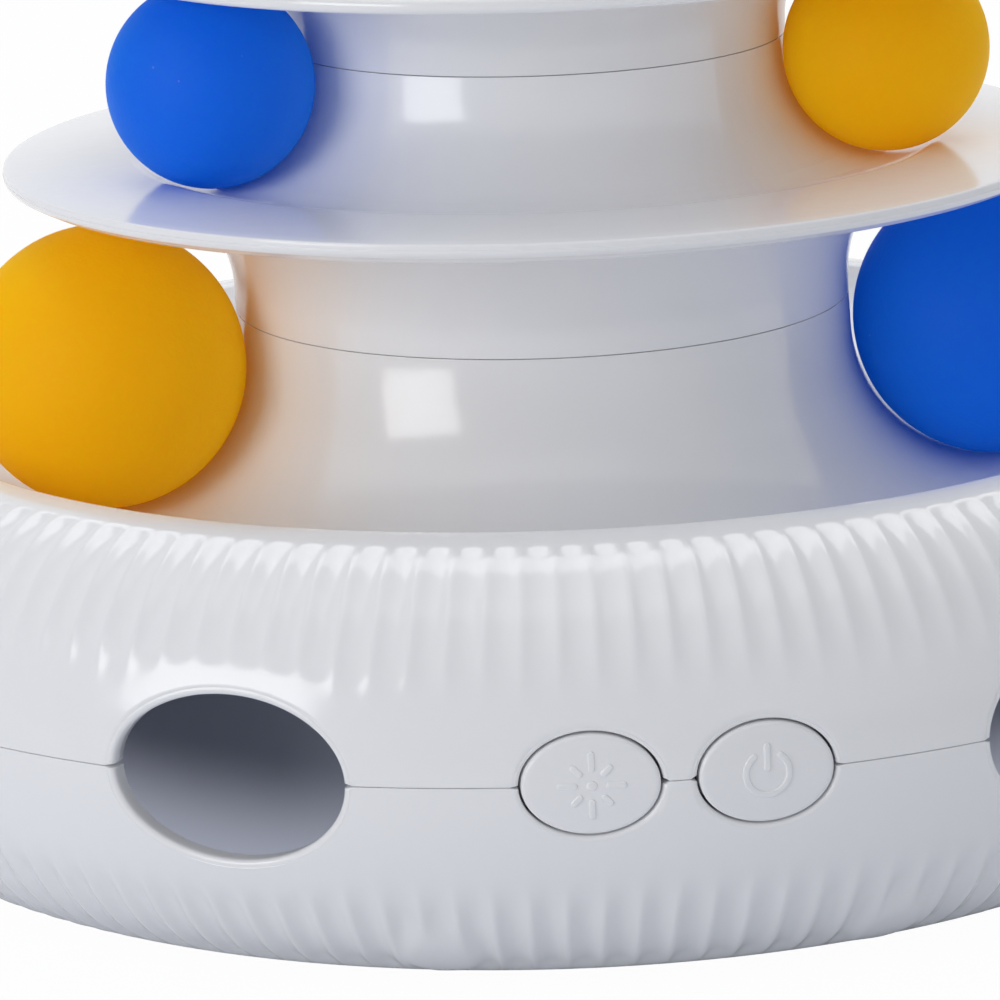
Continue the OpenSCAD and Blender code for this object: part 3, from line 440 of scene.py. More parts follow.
acetal = finish_of("acetal", (0.70, 0.68, 0.60, 1), (0.66, 0.64, 0.56, 1), 0.35, 0.08)
rubber = finish_of(
    "grey_rubber", (0.12, 0.12, 0.13, 1), (0.10, 0.10, 0.11, 1), 0.7, 0.1, peel=0.4, peel_scale=1200,
)
plush = finish_of(
    "orange_plush", (0.75, 0.22, 0.02, 1), (0.62, 0.16, 0.015, 1), 0.85, 0.1, peel=0.9, peel_scale=2200,
    cloud_scale=400, peel_depth=0.0012,
)

NODE_FINISH = {
    "rubber_feet": rubber, "shell_screws": steel, "battery_door": white, "battery_door_screw": steel,
    "battery_cells": sleeve, "battery_springs": steel, "contact_plates": steel, "main_circuit_board": board,
    "board_components": black, "board_screws": steel, "button_board": board, "tact_switches": black,
    "indicator_leds": resin, "signal_ribbon": ribbon_grey, "gear_motor": steel, "motor_screws": steel,
    "carousel_axle": steel, "thrust_washer": brass, "retaining_washer": brass, "axle_clip": steel,
    "carousel": carousel_grey_painted_glow, "lure_clip": white, "plush_lure": plush, "drive_pinion": acetal,
    "output_shaft": steel, "light_switch_plunger": black, "power_switch_plunger": black,
}
for node, finish in NODE_FINISH.items():
    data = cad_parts[node].data
    data.materials.clear()
    data.materials.append(finish)


# ---- the fluted shells of the base ----


def smooth_step(value, low, high):
    """3t^2 - 2t^3 of t, which runs from 0 at low to 1 at high."""
    t = np.clip((value - low) / (high - low), 0, 1)
    return t * t * (3 - 2 * t)


class Opening:
    """An oval opening round the parting line.

    It has the azimuth of its axis, a side shift, half sizes, how much taller its lower half is, a lip with the
    fine line at its start, the depth and wall of the collar, and the ends of its patch of columns.
    """

    def __init__(self, axis, shift, half_w, half_h, drop, lip, line, deep, collar, left, right):
        self.axis, self.shift, self.drop = math.radians(axis), shift, drop
        self.half, self.lip, self.line, self.deep, self.collar = (half_w, half_h), lip, line, deep, collar
        self.columns = np.arange(round(left * COLUMNS / 360), round(right * COLUMNS / 360) + 1)
        edge = self.shift + np.array([-1, 1]) * (half_w + lip)
        ends = BASE_R * np.sin(np.radians(np.array([left, right])) - self.axis)
        tau = np.linspace(0, np.pi, 721)
        a, b = half_w + lip, half_h + lip
        run = np.concatenate([[0], np.cumsum(np.hypot(np.diff(a * np.cos(tau)), np.diff(b * np.sin(tau))))])
        before, after = edge[0] - ends[0], ends[1] - edge[1]
        way = np.linspace(0, before + run[-1] + after, len(self.columns))
        self.flat = (way < before) | (way > before + run[-1])
        side = np.where(way < before, ends[0] + way, edge[1] + way - before - run[-1])
        self.flat_azimuth = self.axis + np.arcsin(side / BASE_R)
        self.tau = np.interp(way - before, run, tau)

    def at(self, grow, depth, half, inset=0.0):
        """Points on the oval grown by `grow`, on a wall surface drawn in by inset, pushed `depth` along the axis.

        The oval is (-a cos t, b sin t); its point stands where the wall has that height and that sideways place.
        """
        x = self.shift - (self.half[0] + grow) * np.cos(self.tau)
        tall = self.half[1] + grow + (self.drop if half["way"] < 0 else 0)
        rise = np.maximum(tall * np.sin(self.tau), SEAM_GAP)
        r, z = wall(half, np.arcsin(np.clip(rise / (half["semi"][1] - inset), 0, 1)), inset)
        along = np.sqrt(np.maximum(r * r - x * x, 1.0)) - depth
        s, c = math.sin(self.axis), math.cos(self.axis)
        return np.column_stack([along * s + x * c, -along * c + x * s, z])


def wall(half, angle, inset=0.0):
    """Radius and height on the quarter ellipse of a shell at an angle, in radians, from the parting line."""
    r = half["centre"] + (half["semi"][0] - inset) * np.cos(angle)
    return r, PART_Z + half["way"] * (half["semi"][1] - inset) * np.sin(angle)


PAW_HALF, PAW_DROP = (16.45, 10.8), 0.8
PAW_LIP, PAW_LINE, PAW_DEEP, PAW_COLLAR, PAW_PATCH = 1.1, 0.07, 3.0, 1.6, 12.0
BUTTON_HALF, BUTTON_AT, BUTTON_GAP = (9.0, 6.7), 11.5, 0.32
BUTTON_LIP, BUTTON_LINE, BUTTON_DEEP, BUTTON_COLLAR, BUTTON_PATCH = 0.65, 0.01, 6.6, 1.2, 12.25
OPENINGS = [
    Opening(
        a, 0.0, *PAW_HALF, PAW_DROP, PAW_LIP, PAW_LINE, PAW_DEEP, PAW_COLLAR, a - PAW_PATCH, a + PAW_PATCH,
    )
    for a in range(30, 390, 60)
] + [
    Opening(
        0.0, s * BUTTON_AT, BUTTON_HALF[0] + BUTTON_GAP, BUTTON_HALF[1] + BUTTON_GAP, 0.0, BUTTON_LIP, BUTTON_LINE,
        BUTTON_DEEP, BUTTON_COLLAR, min(0.0, s * BUTTON_PATCH), max(0.0, s * BUTTON_PATCH),
    )
    for s in (-1, 1)
]


def flute_depth(half, azimuth, angle):
    """How far the wall is cut in.

    Across, a flute is a parabola between ridges, whose tip is softened: t = 1 - sqrt(s^2 + soft^2), where s is the
    distance from the ridge as a share of the half pitch, and the cut is 1 - t^2 / (1 - soft)^2. Along the wall it
    fades by smooth steps, ends below the rim in a short scoop, and leaves an oval pad round each opening. Over the
    plugged screws the wall swells a little instead.
    """
    turn = np.mod(azimuth * RIBS / (2 * np.pi), 1)
    from_ridge = 1 - np.abs(2 * turn - 1)
    t = np.clip(1 - np.sqrt(from_ridge ** 2 + RIDGE_SOFT ** 2), 0, 1) / (1 - RIDGE_SOFT)
    cut = 1 - t * t
    a = np.degrees(angle)
    if half["way"] > 0:
        scoop = np.clip((SCOOP_END - a) / SCOOP, 0, 1)
        fade = smooth_step(a, *UPPER_FADE) * (1 - (1 - scoop) ** 2)
    else:
        fade = smooth_step(a, *LOWER_FADE) * (1 - smooth_step(a, *LOWER_END))
    r, z = wall(half, angle)
    pad = np.ones_like(r)
    for o in OPENINGS:
        grown = np.array(o.half) + o.lip
        side = r * np.sin(azimuth - o.axis) - o.shift
        facing = np.cos(azimuth - o.axis) > 0
        rho = np.hypot(side / grown[0], (z - PART_Z) / grown[1])
        pad = np.where(facing, pad * smooth_step(rho, *PAD_FADE), pad)
    swell = np.zeros_like(r)
    if half["way"] < 0:
        for a in np.radians(PLUGGED):
            away = np.hypot(r * np.sin(azimuth - a), r * np.cos(azimuth - a) - SCREW_AT)
            pad = pad * smooth_step(away, *PLUG_FADE)
            swell = np.maximum(swell, PLUG_SWELL * (1 - smooth_step(away, *PLUG_FADE)))
    return half["flute"] * cut * fade * pad - swell


def wall_points(half, azimuth, angle, inset=0.0, fluted=True):
    """Points of the wall, pushed in along its normal by the flutes."""
    r, z = wall(half, angle, inset)
    if fluted:
        n = np.array([np.cos(angle) / half["semi"][0], np.sin(angle) / half["semi"][1]])
        n = n / np.hypot(*n)
        depth = flute_depth(half, azimuth, angle)
        r, z = r - depth * n[0], z - depth * n[1] * half["way"]
    return around(r, azimuth, z)


def edge_ring(half, grow, depth, flat_in, flat_up, inset=0.0, step=1):
    """A ring along the parting line that climbs round the openings.

    Flat parts lie flat_in inside the wall's foot and flat_up from the parting plane, oval parts are
    Opening.at(grow, depth).
    """
    r, z = half["centre"] + half["semi"][0] - inset - flat_in, PART_Z + half["way"] * flat_up
    ring = around(r, COLUMN_AT, z)
    for o in OPENINGS:
        at = o.at(grow(o), depth(o), half, inset)
        ring[o.columns % COLUMNS] = np.where(o.flat[:, None], around(r, o.flat_azimuth, z), at)
    return ring[::step]


def wall_rings(half, grow, inset, rows, step=1, fluted=True):
    """Rings from the edge ring up.

    In the first ones, rows[0] steps, a column runs straight in azimuth and angle from its place on the edge to its
    own azimuth at PATCH_TOP. Rings at the angles in the rest of rows follow.
    """
    low_azimuth = COLUMN_AT.copy()
    low_angle = np.full(COLUMNS, (SEAM_GAP + SEAM_EASE) / half["semi"][1])
    for o in OPENINGS:
        at = o.at(grow(o), 0.0, half, inset)
        away = np.arctan2(at[:, 0], -at[:, 1])
        rise = np.abs(at[:, 2] - PART_Z) / (half["semi"][1] - inset)
        near = COLUMN_AT[o.columns % COLUMNS]
        place = np.where(o.flat, o.flat_azimuth, away)
        place = near + np.mod(place - near + np.pi, 2 * np.pi) - np.pi
        low_azimuth[o.columns % COLUMNS] = place
        low_angle[o.columns % COLUMNS] = np.where(
            o.flat, low_angle[o.columns % COLUMNS], np.arcsin(np.clip(rise, 0, 1))
        )
    rings = []
    patch = math.radians(PATCH_TOP)
    for share in np.linspace(0, 1, rows[0] + 1):
        a = low_angle + (patch - low_angle) * share
        p = low_azimuth + (COLUMN_AT - low_azimuth) * share
        rings.append(wall_points(half, p[::step], a[::step], inset, fluted))
    p = COLUMN_AT[::step]
    for a in np.radians(np.concatenate(rows[1:])):
        rings.append(wall_points(half, p, np.full(len(p), a), inset, fluted))
    return rings


def lip_rings(half):
    """The eased edge of every opening, a quarter round, with the fine easing of the parting line beside it.

    The inner face of the collar follows.
    """
    rings = [
        edge_ring(half, lambda o: o.lip - o.line, lambda o: 0.8 * o.line, 0.0, SEAM_GAP + SEAM_EASE * 0.95),
        edge_ring(half, lambda o: o.lip - 2 * o.line, lambda o: 0.0, 0.0, SEAM_GAP + SEAM_EASE * 0.9),
    ]
    for beta in QUARTER:
        c, s = 1 - math.cos(beta), 1 - math.sin(beta)
        rings.append(edge_ring(
            half, lambda o: (o.lip - 2 * o.line) * s, lambda o: (o.lip - 2 * o.line) * c,
            SEAM_EASE * c, SEAM_GAP + SEAM_EASE * s * 0.9,
        ))
    rings.append(edge_ring(half, lambda o: 0.0, lambda o: o.deep * 0.5, WALL / 2, SEAM_GAP))
    rings.append(edge_ring(half, lambda o: 0.0, lambda o: o.deep, WALL, SEAM_GAP))
    return rings


def collar_back(half):
    """Coarse rings: the rounded end of the collar, then its back up to the inner face of the wall."""
    return [
        edge_ring(half, lambda o: o.collar, lambda o: o.deep, WALL, 3 * SEAM_GAP, step=COARSE),
        edge_ring(half, lambda o: o.collar, lambda o: WALL + 0.4, WALL, 6 * SEAM_GAP, step=COARSE),
    ]


def skirt_mouth(neck, z):
    """Corners of a skirt's mouth with its snap groove, from the inside down and out to the seam."""
    inside, mid = neck - TIER_WALL, z + SPIGOT_H / 2
    return [
        (inside, z + SPIGOT_H + SPIGOT_WALL, 0.3), (inside, mid + 0.7, 0.2), (inside + 0.5, mid, 0.2),
        (inside, mid - 0.7, 0.2), (inside, z + SEAM_GAP, 0.1), (neck, z + SEAM_GAP, 0.1),
    ]


def spigot(neck, z):
    """Corners of the reduced end of a neck, up its outside and down its inside."""
    out, mid = neck - TIER_WALL - SPIGOT_GAP, z + SPIGOT_H / 2
    return [
        (neck, z - SEAM_GAP, 0.1), (out, z - SEAM_GAP, 0.1), (out, mid - 0.5, 0.2), (out + 0.5, mid, 0.2),
        (out, mid + 0.5, 0.2), (out, z + SPIGOT_H, 0.4), (out - SPIGOT_WALL, z + SPIGOT_H, 0.4),
        (out - SPIGOT_WALL, z - SPIGOT_WALL, 0.5),
    ]


def upper_shell():
    """Closed skin of the upper half: fluted wall, rim, ball track, neck with its spigot, and the inner face.

    The outer bank of the track is an arc of radius `bank` that touches the track's floor and the rounded crest.
    """
    rows = (12, np.arange(41, 70, 3), np.arange(70.5, 79, 1.2), [80, 81.5])
    fine = wall_rings(UPPER, lambda o: o.lip, 0.0, rows)
    inner = wall_rings(UPPER, lambda o: o.collar, WALL, (6, np.arange(46, 86, 8)), COARSE, fluted=False)
    rise = RIM_Z - TRACK_FLOOR
    dx, h = UPPER["centre"] - TRACK_R, rise - CREST_ROUND
    bank = (dx * dx + h * h - CREST_ROUND ** 2) / (2 * rise)
    tilt = math.degrees(math.atan2(dx, bank - h))
    crest = (UPPER["centre"], RIM_Z - CREST_ROUND)
    profile = outline(
        arc((UPPER["centre"], PART_Z), UPPER["semi"], 82, 90, 4),
        arc(crest, (CREST_ROUND, CREST_ROUND), 90, 90 + tilt, 10)[1:],
        arc((TRACK_R, TRACK_FLOOR + bank), (bank, bank), tilt - 90, -90, 12)[1:],
        arc((TRACK_R, TRACK_BALL_Z), (HUG, HUG), -90, -177.7, 24)[1:],
        *spigot(NECK_R, SEAM_Z),
        arc((TRACK_R, TRACK_BALL_Z), (HUG + WALL, HUG + WALL), -178, -90, 9),
        arc((TRACK_R, TRACK_FLOOR + bank), (bank + WALL, bank + WALL), -90, tilt * 0.92 - 90, 7)[1:],
        loop=False,
    )
    track = turned(profile, COLUMNS // COARSE)
    rings = track + inner[::-1] + collar_back(UPPER)[::-1] + lip_rings(UPPER)[::-1] + fine
    return mesh_of("upper_shell", *skinned(rings, loop=True))


def lower_shell():
    """Closed skin of the lower half: fluted wall, sole and the inner face."""
    fine = wall_rings(LOWER, lambda o: o.lip, 0.0, (16, np.arange(41, 76, 2.5)))
    inner = wall_rings(LOWER, lambda o: o.collar, WALL, (6, np.arange(46, 87, 8)), COARSE, fluted=False)
    sole = turned(
        outline(
            arc((LOWER["centre"], PART_Z), LOWER["semi"], -76, -90, 6),
            np.array([[60.0, FOOT_H], [30.0, FOOT_H], [0.0, FOOT_H]]),
            loop=False,
        ),
        COLUMNS // COARSE,
    )
    inside = np.array([[r, FOOT_H + WALL] for r in (0.0, 40.0, 88.0)])
    floor = turned(inside, COLUMNS // COARSE)
    rings = floor + inner[::-1] + collar_back(LOWER)[::-1] + lip_rings(LOWER)[::-1] + fine + sole
    return mesh_of("lower_shell", *skinned(rings))


# ---- openings of the sole ----

FOOT_R, FOOT_AT, FOOT_SEAT, FEET = 6.0, 83.5, 1.0, (17, 107, 197, 287)
WELL_R, SCREW_R, SEAT_Z, BOSS_R = 2.95, 1.55, 11.0, 3.8
DOOR_W, DOOR_D, DOOR_Y, DOOR_T, DOOR_FIT = 59.5, 49.1, 39.0, 1.5, 0.3
TAB_W, TAB_END = 18.0, 72.35
CUT_FIT, CUT_FROM = 0.02, -1.0


def circle(radius, count, azimuth, at):
    """Points of a circle whose middle is `at` from the axis."""
    t = np.linspace(0, 2 * np.pi, count, endpoint=False)
    a = math.radians(azimuth)
    return np.column_stack([at * math.sin(a) + radius * np.cos(t), -at * math.cos(a) + radius * np.sin(t)])


def prism(loop, low, high):
    """A closed prism on a loop that can be seen whole from its middle."""
    level = lambda points, z: np.column_stack([points, np.full(len(points), z)])
    middle = loop.mean(axis=0)[None]
    return skinned([level(middle, low), level(loop, low), level(loop, high), level(middle, high)])


def door_loop(grow):
    """Outline of the battery door: a rectangle with a tab towards the back, grown on every side."""
    w, front, back = DOOR_W / 2 + grow, DOOR_Y - DOOR_D / 2 - grow, DOOR_Y + DOOR_D / 2 + grow
    t, end = TAB_W / 2 + grow, TAB_END + grow
    return outline(
        (-w, front, 1.5), (w, front, 1.5), (w, back, 1.5), (t, back, 0.8), (t, end, 2.5), (-t, end, 2.5),
        (-t, back, 0.8), (-w, back, 1.5),
    )


def screw_tube(azimuth):
    """The boss round a sunk screw.

    It starts in the middle of the wall, at the height where an ellipse half a wall inside the outer one has the
    radius of each point.
    """
    def ring(radius, z=None):
        flat = circle(radius, 32, azimuth, SCREW_AT)
        out = np.clip(np.hypot(*flat.T) - LOWER["centre"], 0, None) / (LOWER["semi"][0] - WALL / 2)
        middle = PART_Z - (LOWER["semi"][1] - WALL / 2) * np.sqrt(1 - out ** 2)
        return np.column_stack([flat, middle if z is None else np.full(len(flat), z)])

    inside, top = WELL_R + CUT_FIT, PART_Z - 0.2
    return skinned([
        ring(BOSS_R), ring(BOSS_R, top), ring(SCREW_R, top), ring(SCREW_R, SEAT_Z), ring(inside, SEAT_Z),
        ring(inside),
    ], loop=True)


def opened(mesh):
    """The lower shell without its screw wells, foot seats and door recess; flush plugs close the front wells."""
    wells = [prism(circle(WELL_R, 32, a, SCREW_AT), CUT_FROM, SEAT_Z + 2) for a in SCREWS if a not in PLUGGED]
    seats = [prism(circle(FOOT_R + CUT_FIT, 48, a, FOOT_AT), CUT_FROM, FOOT_H + FOOT_SEAT) for a in FEET]
    door = prism(door_loop(DOOR_FIT), CUT_FROM, FOOT_H + DOOR_T)
    tools = mesh_of("tools", *joined(*wells, *seats, door))
    body, tool = bpy.data.objects.new("body", mesh), bpy.data.objects.new("tool", tools)
    for obj in (body, tool):
        bpy.context.scene.collection.objects.link(obj)
    cut = body.modifiers.new("cut", "BOOLEAN")
    cut.operation, cut.solver, cut.object = "DIFFERENCE", "EXACT", tool
    graph = bpy.context.evaluated_depsgraph_get()
    result = bpy.data.meshes.new_from_object(body.evaluated_get(graph), depsgraph=graph)
    for obj in (body, tool):
        bpy.data.objects.remove(obj)
    result.set_sharp_from_angle(angle=math.radians(40))
    return result


# ---- the lure ----

LURE_R, LURE_AT, LURE_Z = 9.0, 89.5, 21.5
TUFTS, TUFT_RISE, TUFT_WIDE, TUFT_SUNK = 420, 0.55, 0.7, 0.25


def lure():
    """Plush ball of radius LURE_R + TUFT_RISE (tuft - TUFT_SUNK).

    tuft is exp(-(away / TUFT_WIDE)^2), with the angle away from the nearest of TUFTS directions, which the golden
    angle spreads, taken as a share of about the half distance between two of them.
    """
    steps, columns = 120, 240
    polar = np.linspace(0, np.pi, steps + 1)
    profile = np.column_stack([np.sin(polar), np.cos(polar)])
    profile[[0, -1], 0] = 0
    points, quads, tris = skinned(turned(profile, columns))
    k = np.arange(TUFTS) + 0.5
    up, turn = 1 - 2 * k / TUFTS, np.pi * (1 + 5 ** 0.5) * k
    side = np.sqrt(1 - up * up)
    ways = np.column_stack([side * np.cos(turn), side * np.sin(turn), up])
    nearest = np.max(points @ ways.T, axis=1)
    away = np.arccos(np.clip(nearest, -1, 1)) * math.sqrt(TUFTS) / 2
    radius = LURE_R + TUFT_RISE * (np.exp(-(away / TUFT_WIDE) ** 2) - TUFT_SUNK)
    return mesh_of("plush_lure_skin", points * radius[:, None] + [0, LURE_AT, LURE_Z], quads, tris)


piece("plush_lure_skin", lure(), plush, "carousel", "lure_plush", "plush_lure")


# ---- the base's pieces ----

piece("fluted_upper_shell", upper_shell(), lower_neck_white, "tower", "shell_plastic", "base_upper_shell")
piece("fluted_lower_shell", opened(lower_shell()), white, "tower", "shell_plastic", "base_lower_shell")
bosses = mesh_of("screw_bosses", *joined(*[screw_tube(a) for a in SCREWS]))
piece("screw_bosses", bosses, white, "tower", "shell_plastic", "base_lower_shell")


# ---- the tiers ----


def middle_tier():
    """Plate with the upper ball track: skirt, flared underside, stepped rim, flange, track and neck.

    The flange falls outwards from its ridge by a parabola, top + rise - drop ((r - ridge) / width)^2.
    """
    low = SEAM_Z + FLARE_UP
    under = UP_FLOOR - TIER_WALL
    top = UP_FLOOR + MID_RIM_UP
    r = np.linspace(MID_RIM_R - 1.1, RIDGE_R + 1.2, 12)
    fall = ((r - RIDGE_R) / (MID_RIM_R - RIDGE_R)) ** 2
    profile = outline(
        *skirt_mouth(NECK_R, SEAM_Z),
        arc((NECK_R + FLARE_R, low), (FLARE_R, under - low), 180, 92, 24),
        (MID_RIM_R - 3.0, under + 0.10, 1.0),
        (MID_RIM_R - 0.35, top - MID_RIM_T, 0.5),
        (MID_RIM_R - 0.04, top - MID_RIM_T + 0.6, 0.3),
        (MID_RIM_R, top - 1.05, 0.05),
        (MID_RIM_R - 0.09, top - 0.98, 0.05),
        (MID_RIM_R - 0.12, top - 0.12, 0.36),
        np.column_stack([r, top + RIDGE_UP - (RIDGE_UP + 0.05) * fall]),
        (RIDGE_R, top + RIDGE_UP - 0.02, 0.55),
        arc((UP_TRACK_R, UP_BALL_Z), (UP_HUG, UP_HUG), -64.5, -174.8, 46),
        *spigot(UP_NECK_R, UP_SEAM_Z),
        arc((UP_TRACK_R, UP_BALL_Z), (UP_HUG + TIER_WALL, UP_HUG + TIER_WALL), -176, -112, 10),
    )
    return mesh_of("middle_tier", *skinned(turned(profile, 400), loop=True))


def top_tier():
    """Top plate: skirt, flared underside, hanging rim and flat top."""
    low = UP_SEAM_Z + UP_FLARE_UP
    half = (TOP_Z - TOP_UNDER_Z + TOP_LIP) / 2
    profile = outline(
        *skirt_mouth(UP_NECK_R, UP_SEAM_Z),
        arc((UP_NECK_R + UP_FLARE_R, low), (UP_FLARE_R, TOP_UNDER_Z - low), 180, 92, 24),
        (TOP_RIM_R - 2 * half - TOP_LIP, TOP_UNDER_Z, 0.5),
        arc((TOP_RIM_R - half, TOP_Z - half), (half, half), -100, 88, 14),
        (UP_NECK_R - TIER_WALL, TOP_Z, 0.2),
    )
    return mesh_of("top_tier", *skinned(turned(profile, 480), loop=True))


def top_cap():
    """Domed cap with a straight edge and a plug below."""
    out = UP_NECK_R - TIER_WALL - SPIGOT_GAP
    inside = out - SPIGOT_WALL
    z = TOP_Z + SEAM_GAP + CAP_EDGE
    dome = (CAP_R - TIER_WALL, CAP_RISE - TIER_WALL)
    start = math.degrees(math.acos(inside / dome[0]))
    profile = outline(
        arc((0, z), (CAP_R, CAP_RISE), 90, 4, 30),
        (CAP_R, z - 0.1, 0.3),
        (CAP_R - 0.1, TOP_Z + SEAM_GAP, 0.2),
        (out, TOP_Z + SEAM_GAP, 0.2),
        (out, TOP_Z - SPIGOT_H, 0.4),
        (inside, TOP_Z - SPIGOT_H, 0.4),
        arc((0, z), dome, start, 90, 16),
        loop=False,
    )
    profile[[0, -1], 0] = 0
    return mesh_of("top_cap", *skinned(turned(profile, 360)))


piece("tier_middle", middle_tier(), upper_neck_white_painted_lighter, "tower", "shell_plastic", "middle_tier")
piece("tier_top", top_tier(), white, "tower", "shell_plastic", "top_tier")
piece("dome_cap", top_cap(), white, "tower", "shell_plastic", "top_cap")


# ---- balls ----

BALL_SEAM_DIP, BALL_SEAM_WIDE = 0.0012, math.radians(0.35)
BALL_SEAM_TILT = Matrix.Rotation(math.radians(64), 3, (0.6, 0.2, 0.3))


def ball(track, z, radius, azimuth):
    """Sphere of two welded halves: radius * (1 - seam), where the seam is a narrow dip at its tilted equator."""
    steps, columns = 64, 128
    polar = np.linspace(0, np.pi, steps + 1)
    polar = np.sort(np.concatenate([polar, np.pi / 2 + np.radians([-1.0, -0.45, 0.45, 1.0])]))
    dip = BALL_SEAM_DIP * np.exp(-((polar - np.pi / 2) / BALL_SEAM_WIDE) ** 2)
    profile = np.column_stack([np.sin(polar), np.cos(polar)]) * (radius * (1 - dip))[:, None]
    profile[[0, -1], 0] = 0
    points, quads, tris = skinned(turned(profile, columns))
    a = math.radians(azimuth)
    centre = np.array([track * math.sin(a), -track * math.cos(a), z])
    return points @ np.array(BALL_SEAM_TILT).T + centre, quads, tris


for name, track, z, radius, azimuth, finish in (
    ("lower_yellow_ball", TRACK_R, TRACK_BALL_Z, 20.5, -81.35, yellow),
    ("lower_blue_ball", TRACK_R, TRACK_BALL_Z, 20.5, 80.15, blue),
    ("upper_blue_ball", UP_TRACK_R, UP_BALL_Z, 14.8, -69.55, blue),
    ("upper_yellow_ball", UP_TRACK_R, UP_BALL_Z, 14.8, 68.15, yellow),
):
    slot = "ball_yellow" if finish is yellow else "ball_blue"
    shape = mesh_of(name, *ball(track, z, radius, azimuth))
    piece(name.replace("ball", "ball_skin"), shape, finish, name, slot, name)


# ---- buttons ----

BUTTON_EASE, BUTTON_PROUD = 0.55, 0.12
SIGN_UP, STEM_R = 0.22, 3.0
SUN_DOT, RAY_FROM, RAY_ENDS, RAY_HALF = 0.68, 2.25, (4.13, 3.33), 0.44
POWER_R, POWER_OPEN, POWER_BAR, POWER_HALF = 2.9, 38, (0.7, 3.6), 0.46


def on_face(shift, x, rise, proud):
    """A point of a button's face: where the wall has that sideways place and height, `proud` further out."""
    centre, semi, tall = [
        np.where(rise >= 0, above, below)
        for above, below in zip((UPPER["centre"], *UPPER["semi"]), (LOWER["centre"], *LOWER["semi"]))
    ]
    r = centre + semi * np.sqrt(1 - (rise / tall) ** 2)
    side = shift + x
    return np.column_stack([side, -(np.sqrt(r * r - side * side) + proud), PART_Z + rise])


def button(side):
    """Oval cap: its face follows the wall and has a quarter round edge; skirt, stop flange and stem are behind."""
    shift = side * BUTTON_AT
    t = np.linspace(0, 2 * np.pi, 144, endpoint=False)
    across, up = np.cos(t), np.sin(t)
    a, b = BUTTON_HALF
    back = BASE_R - BUTTON_DEEP

    def face(grow, share, sunk):
        return on_face(shift, (a + grow) * share * across, (b + grow) * share * up, BUTTON_PROUD - sunk)

    def ring(half_w, half_h, y):
        return np.column_stack([shift + half_w * across, np.full(len(t), -y), PART_Z + half_h * up])

    rings = [on_face(shift, np.zeros(1), np.zeros(1), BUTTON_PROUD)]
    rings += [face(-BUTTON_EASE, share, 0.0) for share in (0.2, 0.4, 0.6, 0.8, 0.95, 1.0)]
    for beta in QUARTER:
        rings.append(face(-BUTTON_EASE * (1 - math.sin(beta)), 1.0, BUTTON_EASE * (1 - math.cos(beta))))
    for grow, y in ((0, 0.3), (0, 0), (1.6, 0), (2.0, -0.2), (2.0, -0.8), (1.6, -1.0)):
        rings.append(ring(a + grow, b + grow, back + y))
    rings += [ring(STEM_R, STEM_R, back - y) for y in (1.0, 1.5)]
    rings.append(np.array([[shift, -(back - 1.5), PART_Z]]))
    return mesh_of("button", *skinned(rings))


def stroke(spine, half_width, shift):
    """A raised stroke with round ends along a line of (x, rise) points.

    Loops round the line at a distance d from it climb from below the face to its top by h sqrt(1 - (d/w)^4), and
    the last loop is closed by bridging each of its points with the one that mirrors it.
    """
    spine = np.array(spine, float)
    along = np.gradient(spine, axis=0)
    along /= np.linalg.norm(along, axis=1)[:, None]
    across = np.column_stack([-along[:, 1], along[:, 0]])
    cap = np.radians(np.linspace(90, -90, 9))[1:-1]

    def loop(d):
        end = spine[-1] + d * (np.cos(cap)[:, None] * along[-1] + np.sin(cap)[:, None] * across[-1])
        start = spine[0] - d * (np.cos(cap)[:, None] * along[0] + np.sin(cap)[:, None] * across[0])
        whole = np.vstack([spine + d * across, end, (spine - d * across)[::-1], start])
        return np.roll(whole, len(cap) // 2, axis=0)

    rings = []
    for share, up in ((1.0, -0.3), (1.0, 0.0), (0.93, 0.5), (0.8, 0.8), (0.6, 0.95), (0.3, 1.0)):
        flat = loop(half_width * share)
        rings.append(on_face(shift, flat[:, 0], flat[:, 1], BUTTON_PROUD + SIGN_UP * up))
    points, quads, tris = skinned(rings)
    n = len(rings[0])
    i = np.arange(n // 2 - 1)
    bridge = np.column_stack([i, i + 1, n - 2 - i, n - 1 - i])
    top = (len(rings) - 1) * n
    return points, quads + [top + bridge, bridge[:, ::-1]], tris


def sun_sign():
    """A dot with eight rays, the upright and level ones longer."""
    strokes = [stroke([(-0.05, 0), (0.05, 0)], SUN_DOT, -BUTTON_AT)]
    for k in range(8):
        a = math.radians(45 * k)
        r = np.linspace(RAY_FROM, RAY_ENDS[k % 2], 5)[:, None]
        strokes.append(stroke(r * [math.cos(a), math.sin(a)], RAY_HALF, -BUTTON_AT))
    return mesh_of("sun_sign", *joined(*strokes))


def power_sign():
    """A ring open at the top with an upright bar in its gap."""
    a = np.radians(np.linspace(90 + POWER_OPEN, 450 - POWER_OPEN, 49))
    ring = POWER_R * np.column_stack([np.cos(a), np.sin(a)])
    bar = np.column_stack([np.zeros(6), np.linspace(*POWER_BAR, 6)])
    strokes = [stroke(line, POWER_HALF, BUTTON_AT) for line in (ring, bar)]
    return mesh_of("power_sign", *joined(*strokes))


piece("light_button_cap", button(-1), button_white, "light_button", "button_plastic", "light_button")
piece("power_button_cap", button(1), button_white, "power_button", "button_plastic", "power_button")
piece("sun_sign", sun_sign(), button_white, "light_button", "button_plastic")
piece("power_sign", power_sign(), button_white, "power_button", "button_plastic")


# ---- floor, light and camera ----


FLOOR_GLOW, FLOOR_GAP, FLOOR_LIT = 0.975, 0.02, (0.10, 0.26)
SHEET_SIDE, SHEET_FRONT, SHEET_BACK, SHEET_BEND, SHEET_TOP = 4000.0, -3000.0, 1500.0, 600.0, 3000.0


